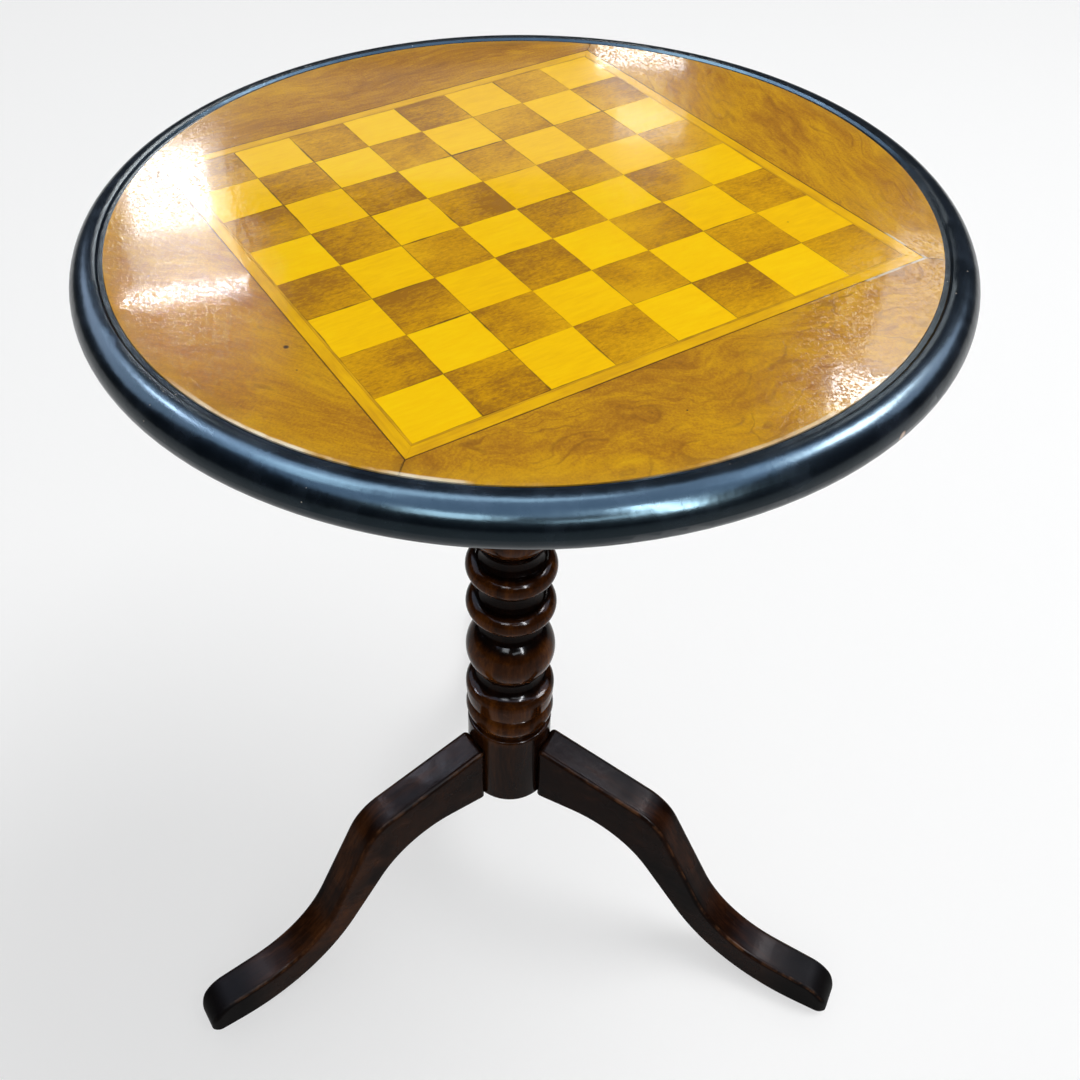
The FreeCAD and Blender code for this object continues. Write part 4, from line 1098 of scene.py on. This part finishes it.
@dataclass
class Stand:
    """The turned column and its three legs."""

    turned: float = 1.6
    legs: tuple[tuple[str, float], ...] = (("leg_back", 0.0), ("leg_left", 120.0), ("leg_right", 240.0))
    redder_tone: Colour = (0.0210, 0.0066, 0.0020)
    redder_bright: Colour = (0.085, 0.027, 0.0070)

    def build(self) -> None:
        """Dress the column and the legs; the back leg has a redder, lighter tone than the others."""
        dress("column", TurnedMahogany("column_mahogany").material())
        for node, angle in self.legs:
            finish = Mahogany(f"{node}_mahogany", -angle - self.turned)
            if node == "leg_back":
                finish = replace(finish, tone=self.redder_tone, bright=self.redder_bright)
            dress(node, finish.material())


# --- floor, light and camera ---

class Role(Enum):
    """What a lamp is for: to light the surfaces softly, or to be mirrored in the polish."""

    LIGHTS = "lights"
    MIRRORED = "mirrored"


@dataclass(frozen=True)
class Panel:
    """A soft lamp that faces the table from a direction given by its azimuth and height in degrees."""

    name: str
    azimuth: float
    height: float
    away: float
    wide: float
    tall: float
    radiance: float
    colour: Colour = (1.0, 1.0, 1.0)
    aim: Triple = (0.0, 0.0, 0.7)
    role: Role = Role.MIRRORED
    energy_per_area: float = 4.0

    def light(self) -> None:
        """Put the lamp up."""
        lamp = bpy.data.lights.new(self.name, "AREA")
        lamp.shape = "RECTANGLE"
        lamp.size = self.wide
        lamp.size_y = self.tall
        lamp.energy = self.radiance * self.energy_per_area * self.wide * self.tall
        lamp.color = self.colour
        thing = bpy.data.objects.new(self.name, lamp)
        bpy.context.scene.collection.objects.link(thing)
        thing.visible_diffuse = self.role is Role.LIGHTS
        thing.visible_glossy = self.role is Role.MIRRORED
        turn, lift = math.radians(self.azimuth), math.radians(self.height)
        out = Vector((math.cos(turn) * math.cos(lift), math.sin(turn) * math.cos(lift), math.sin(lift)))
        spot = Vector(self.aim) + out * self.away
        thing.matrix_world = Matrix.Translation(spot) @ out.to_track_quat("Z", "Y").to_matrix().to_4x4()
        log.info("lamp %s", self.name)


@dataclass(frozen=True)
class Lamps:
    """One lamp that lights, and the ones that the walls, the moulding, a leg and the top mirror."""

    key: Panel = Panel("key", -104.0, 61.0, 3.2, 1.8, 1.8, 6.3, role=Role.LIGHTS)
    walls: tuple[Panel, ...] = (
        Panel("ceiling", 147.0, 82.0, 2.6, 4.4, 4.06, 4.2, (0.85, 1.05, 1.45)),
        Panel("left_wall", 32.0, 42.0, 2.9, 2.2, 2.4, 3.6, (0.85, 1.05, 1.40)),
        Panel("right_wall", -104.0, 42.0, 2.9, 1.5, 2.3, 4.2, (0.85, 1.05, 1.40)),
    )
    for_moulding: tuple[Panel, ...] = (
        Panel("far_line", -12.0, 69.0, 2.0, 1.20, 0.50, 13.0, (0.90, 0.98, 1.08), (-0.235, 0.15, 0.7)),
        Panel("left_window", 45.0, 66.0, 2.2, 0.90, 0.50, 15.0, (0.90, 1.0, 1.10), (-0.17, 0.21, 0.7)),
        Panel("front_window", 131.0, 42.0, 2.1, 0.66, 0.60, 32.0, (0.94, 1.0, 1.06), (-0.235, 0.15, 0.7)),
        Panel("front_line", 172.0, 30.5, 2.2, 1.30, 0.22, 20.0, (0.92, 1.0, 1.08), (-0.26, 0.08, 0.7)),
        Panel("side_window", -177.0, 37.0, 2.5, 0.16, 1.5, 190.0, (0.95, 0.98, 1.02)),
        Panel("right_window", -96.0, 47.0, 2.1, 0.56, 0.52, 70.0, (0.98, 0.98, 1.0), (-0.272, -0.035, 0.7)),
    )
    for_leg: tuple[Panel, ...] = (
        Panel("knee_window", 25.0, 56.0, 2.2, 0.24, 0.14, 90.0, (0.88, 0.94, 1.1), (-0.003, 0.105, 0.177)),
    )
    for_top: tuple[Panel, ...] = (
        Panel("rear_window", -15.4, 28.8, 3.0, 0.23, 0.22, 15.0, aim=(0.15, 0.175, TOP_FACE)),
        Panel("rear_glow", -15.6, 29.9, 3.1, 0.32, 0.42, 3.2, aim=(0.12, 0.18, TOP_FACE)),
        Panel("rear_haze", -28.0, 26.6, 3.2, 1.5, 0.34, 0.6, aim=(0.11, 0.0, TOP_FACE)),
        Panel("rear_tube", -15.4, 33.1, 3.0, 0.35, 0.009, 135.0, aim=(0.022, 0.214, TOP_FACE)),
        Panel("far_window", -38.2, 24.0, 3.0, 0.26, 0.07, 11.0, aim=(0.149, -0.206, TOP_FACE)),
        Panel("board_window", -38.9, 26.8, 3.0, 0.20, 0.09, 3.0, aim=(0.048, -0.139, TOP_FACE)),
        Panel("near_window", -51.4, 37.0, 2.9, 0.19, 0.12, 19.0, aim=(-0.249, -0.058, TOP_FACE)),
        Panel("near_glow", -52.6, 33.4, 3.1, 0.17, 0.46, 3.6, aim=(-0.21, -0.12, TOP_FACE)),
    )

    def build(self) -> None:
        """Put all the lamps up."""
        for panel in (self.key, *self.walls, *self.for_moulding, *self.for_leg, *self.for_top):
            panel.light()


@dataclass
class Surround:
    """A white floor and surround, and a dim canopy that only the polish sees."""

    floor_half: float = 6.0
    floor_paint: Colour = (0.96, 0.96, 0.96)
    floor_glow: float = 0.55
    canopy_radius: float = 5.6
    canopy_foot: float = 0.02
    canopy_tone: Colour = (0.70, 0.85, 1.0)
    canopy_glow: float = 0.07
    sky_tone: Colour = (0.96, 0.98, 1.0)
    sky_glow: float = 0.48
    white: Colour = (1.0, 1.0, 1.0)

    def build(self) -> None:
        """Lay the floor, hang the canopy and set the world."""
        self._floor()
        self._canopy()
        self._world()

    @staticmethod
    def _seen(graph: Graph) -> Wire:
        """Pick the rays that show a background: straight from the camera, mirrored or through glass.

        Args:
            graph: the graph to build in.

        Returns:
            1 for those rays, 0 for the others.
        """
        camera = graph.node("ShaderNodeLightPath", output="Is Camera Ray")
        glossy = graph.node("ShaderNodeLightPath", output="Is Glossy Ray")
        through = graph.node("ShaderNodeLightPath", output="Is Transmission Ray")
        return camera.larger(glossy).larger(through)

    def _floor(self) -> None:
        """A plain white floor that keeps the table's shadow."""
        shape = bmesh.new()
        bmesh.ops.create_grid(shape, x_segments=1, y_segments=1, size=self.floor_half)
        graph = Graph("floor_white")
        matt = graph.node("ShaderNodeBsdfDiffuse", {}, {"Color": self.floor_paint})
        glow = graph.node("ShaderNodeEmission", {}, {"Color": self.white, "Strength": 1.0})
        pale = graph.node("ShaderNodeMixShader", {}, {0: self.floor_glow, 1: matt, 2: glow})
        surface = graph.node("ShaderNodeMixShader", {}, {0: self._seen(graph), 1: matt, 2: pale})
        stage_piece("floor", shape, graph.close(surface))

    def _canopy(self) -> None:
        """A dim canopy over the set, so that a polished dark surface isn't hazed by the white surround."""
        shape = bmesh.new()
        bmesh.ops.create_uvsphere(shape, u_segments=48, v_segments=24, radius=self.canopy_radius)
        bmesh.ops.bisect_plane(
            shape,
            geom=shape.verts[:] + shape.edges[:] + shape.faces[:],
            plane_co=(0.0, 0.0, self.canopy_foot),
            plane_no=(0.0, 0.0, 1.0),
            clear_inner=True,
        )
        graph = Graph("canopy_cloth")
        sockets = {"Color": self.canopy_tone, "Strength": self.canopy_glow}
        canopy = stage_piece("canopy", shape, graph.close(graph.node("ShaderNodeEmission", {}, sockets)))
        for rays in ("camera", "diffuse", "transmission", "volume_scatter", "shadow"):
            setattr(canopy, f"visible_{rays}", False)

    def _world(self) -> None:
        """A white surround that lights the table softly."""
        world = bpy.data.worlds.new("surround")
        bpy.context.scene.world = world
        world.use_nodes = True
        graph = Graph.of_world(world)
        soft = graph.node("ShaderNodeBackground", {}, {"Color": self.sky_tone, "Strength": self.sky_glow})
        white = graph.node("ShaderNodeBackground", {}, {"Color": self.white, "Strength": 1.0})
        mixed = graph.node("ShaderNodeMixShader", {}, {0: self._seen(graph), 1: soft, 2: white})
        end = graph.tree.nodes.new("ShaderNodeOutputWorld")
        graph.tree.links.new(mixed.socket, end.inputs["Surface"])


@dataclass
class Eye:
    """The camera: a little over a metre high, looking down across the top."""

    spot: Triple = (-0.60412, 0.38635, 1.13870)
    across: Triple = (-0.49196135, -0.87025904, -0.02496452)
    up: Triple = (0.53289314, -0.32367473, 0.78183091)
    back: Triple = (-0.6884758, 0.37132717, 0.62299053)
    sensor: float = 36.0
    lens: float = 43.4297
    shift: Span = (0.0942963, -0.1356574)

    def build(self) -> None:
        """Put the camera up and make it the scene's own."""
        camera = bpy.data.cameras.new("camera")
        camera.sensor_width = self.sensor
        camera.lens = self.lens
        camera.shift_x, camera.shift_y = self.shift
        thing = bpy.data.objects.new("camera", camera)
        bpy.context.scene.collection.objects.link(thing)
        turned = Matrix((self.across, self.up, self.back)).transposed().to_4x4()
        thing.matrix_world = Matrix.Translation(self.spot) @ turned
        bpy.context.scene.camera = thing


def main() -> None:
    """Build the scene in order."""
    logging.basicConfig(level=logging.INFO, format="%(name)s: %(message)s")
    bpy.context.scene.view_settings.view_transform = "Standard"
    Eye().build()
    for part in (Top(), Underwork(), Stand(), Surround(), Lamps()):
        part.build()


if __name__ == "__main__":
    main()
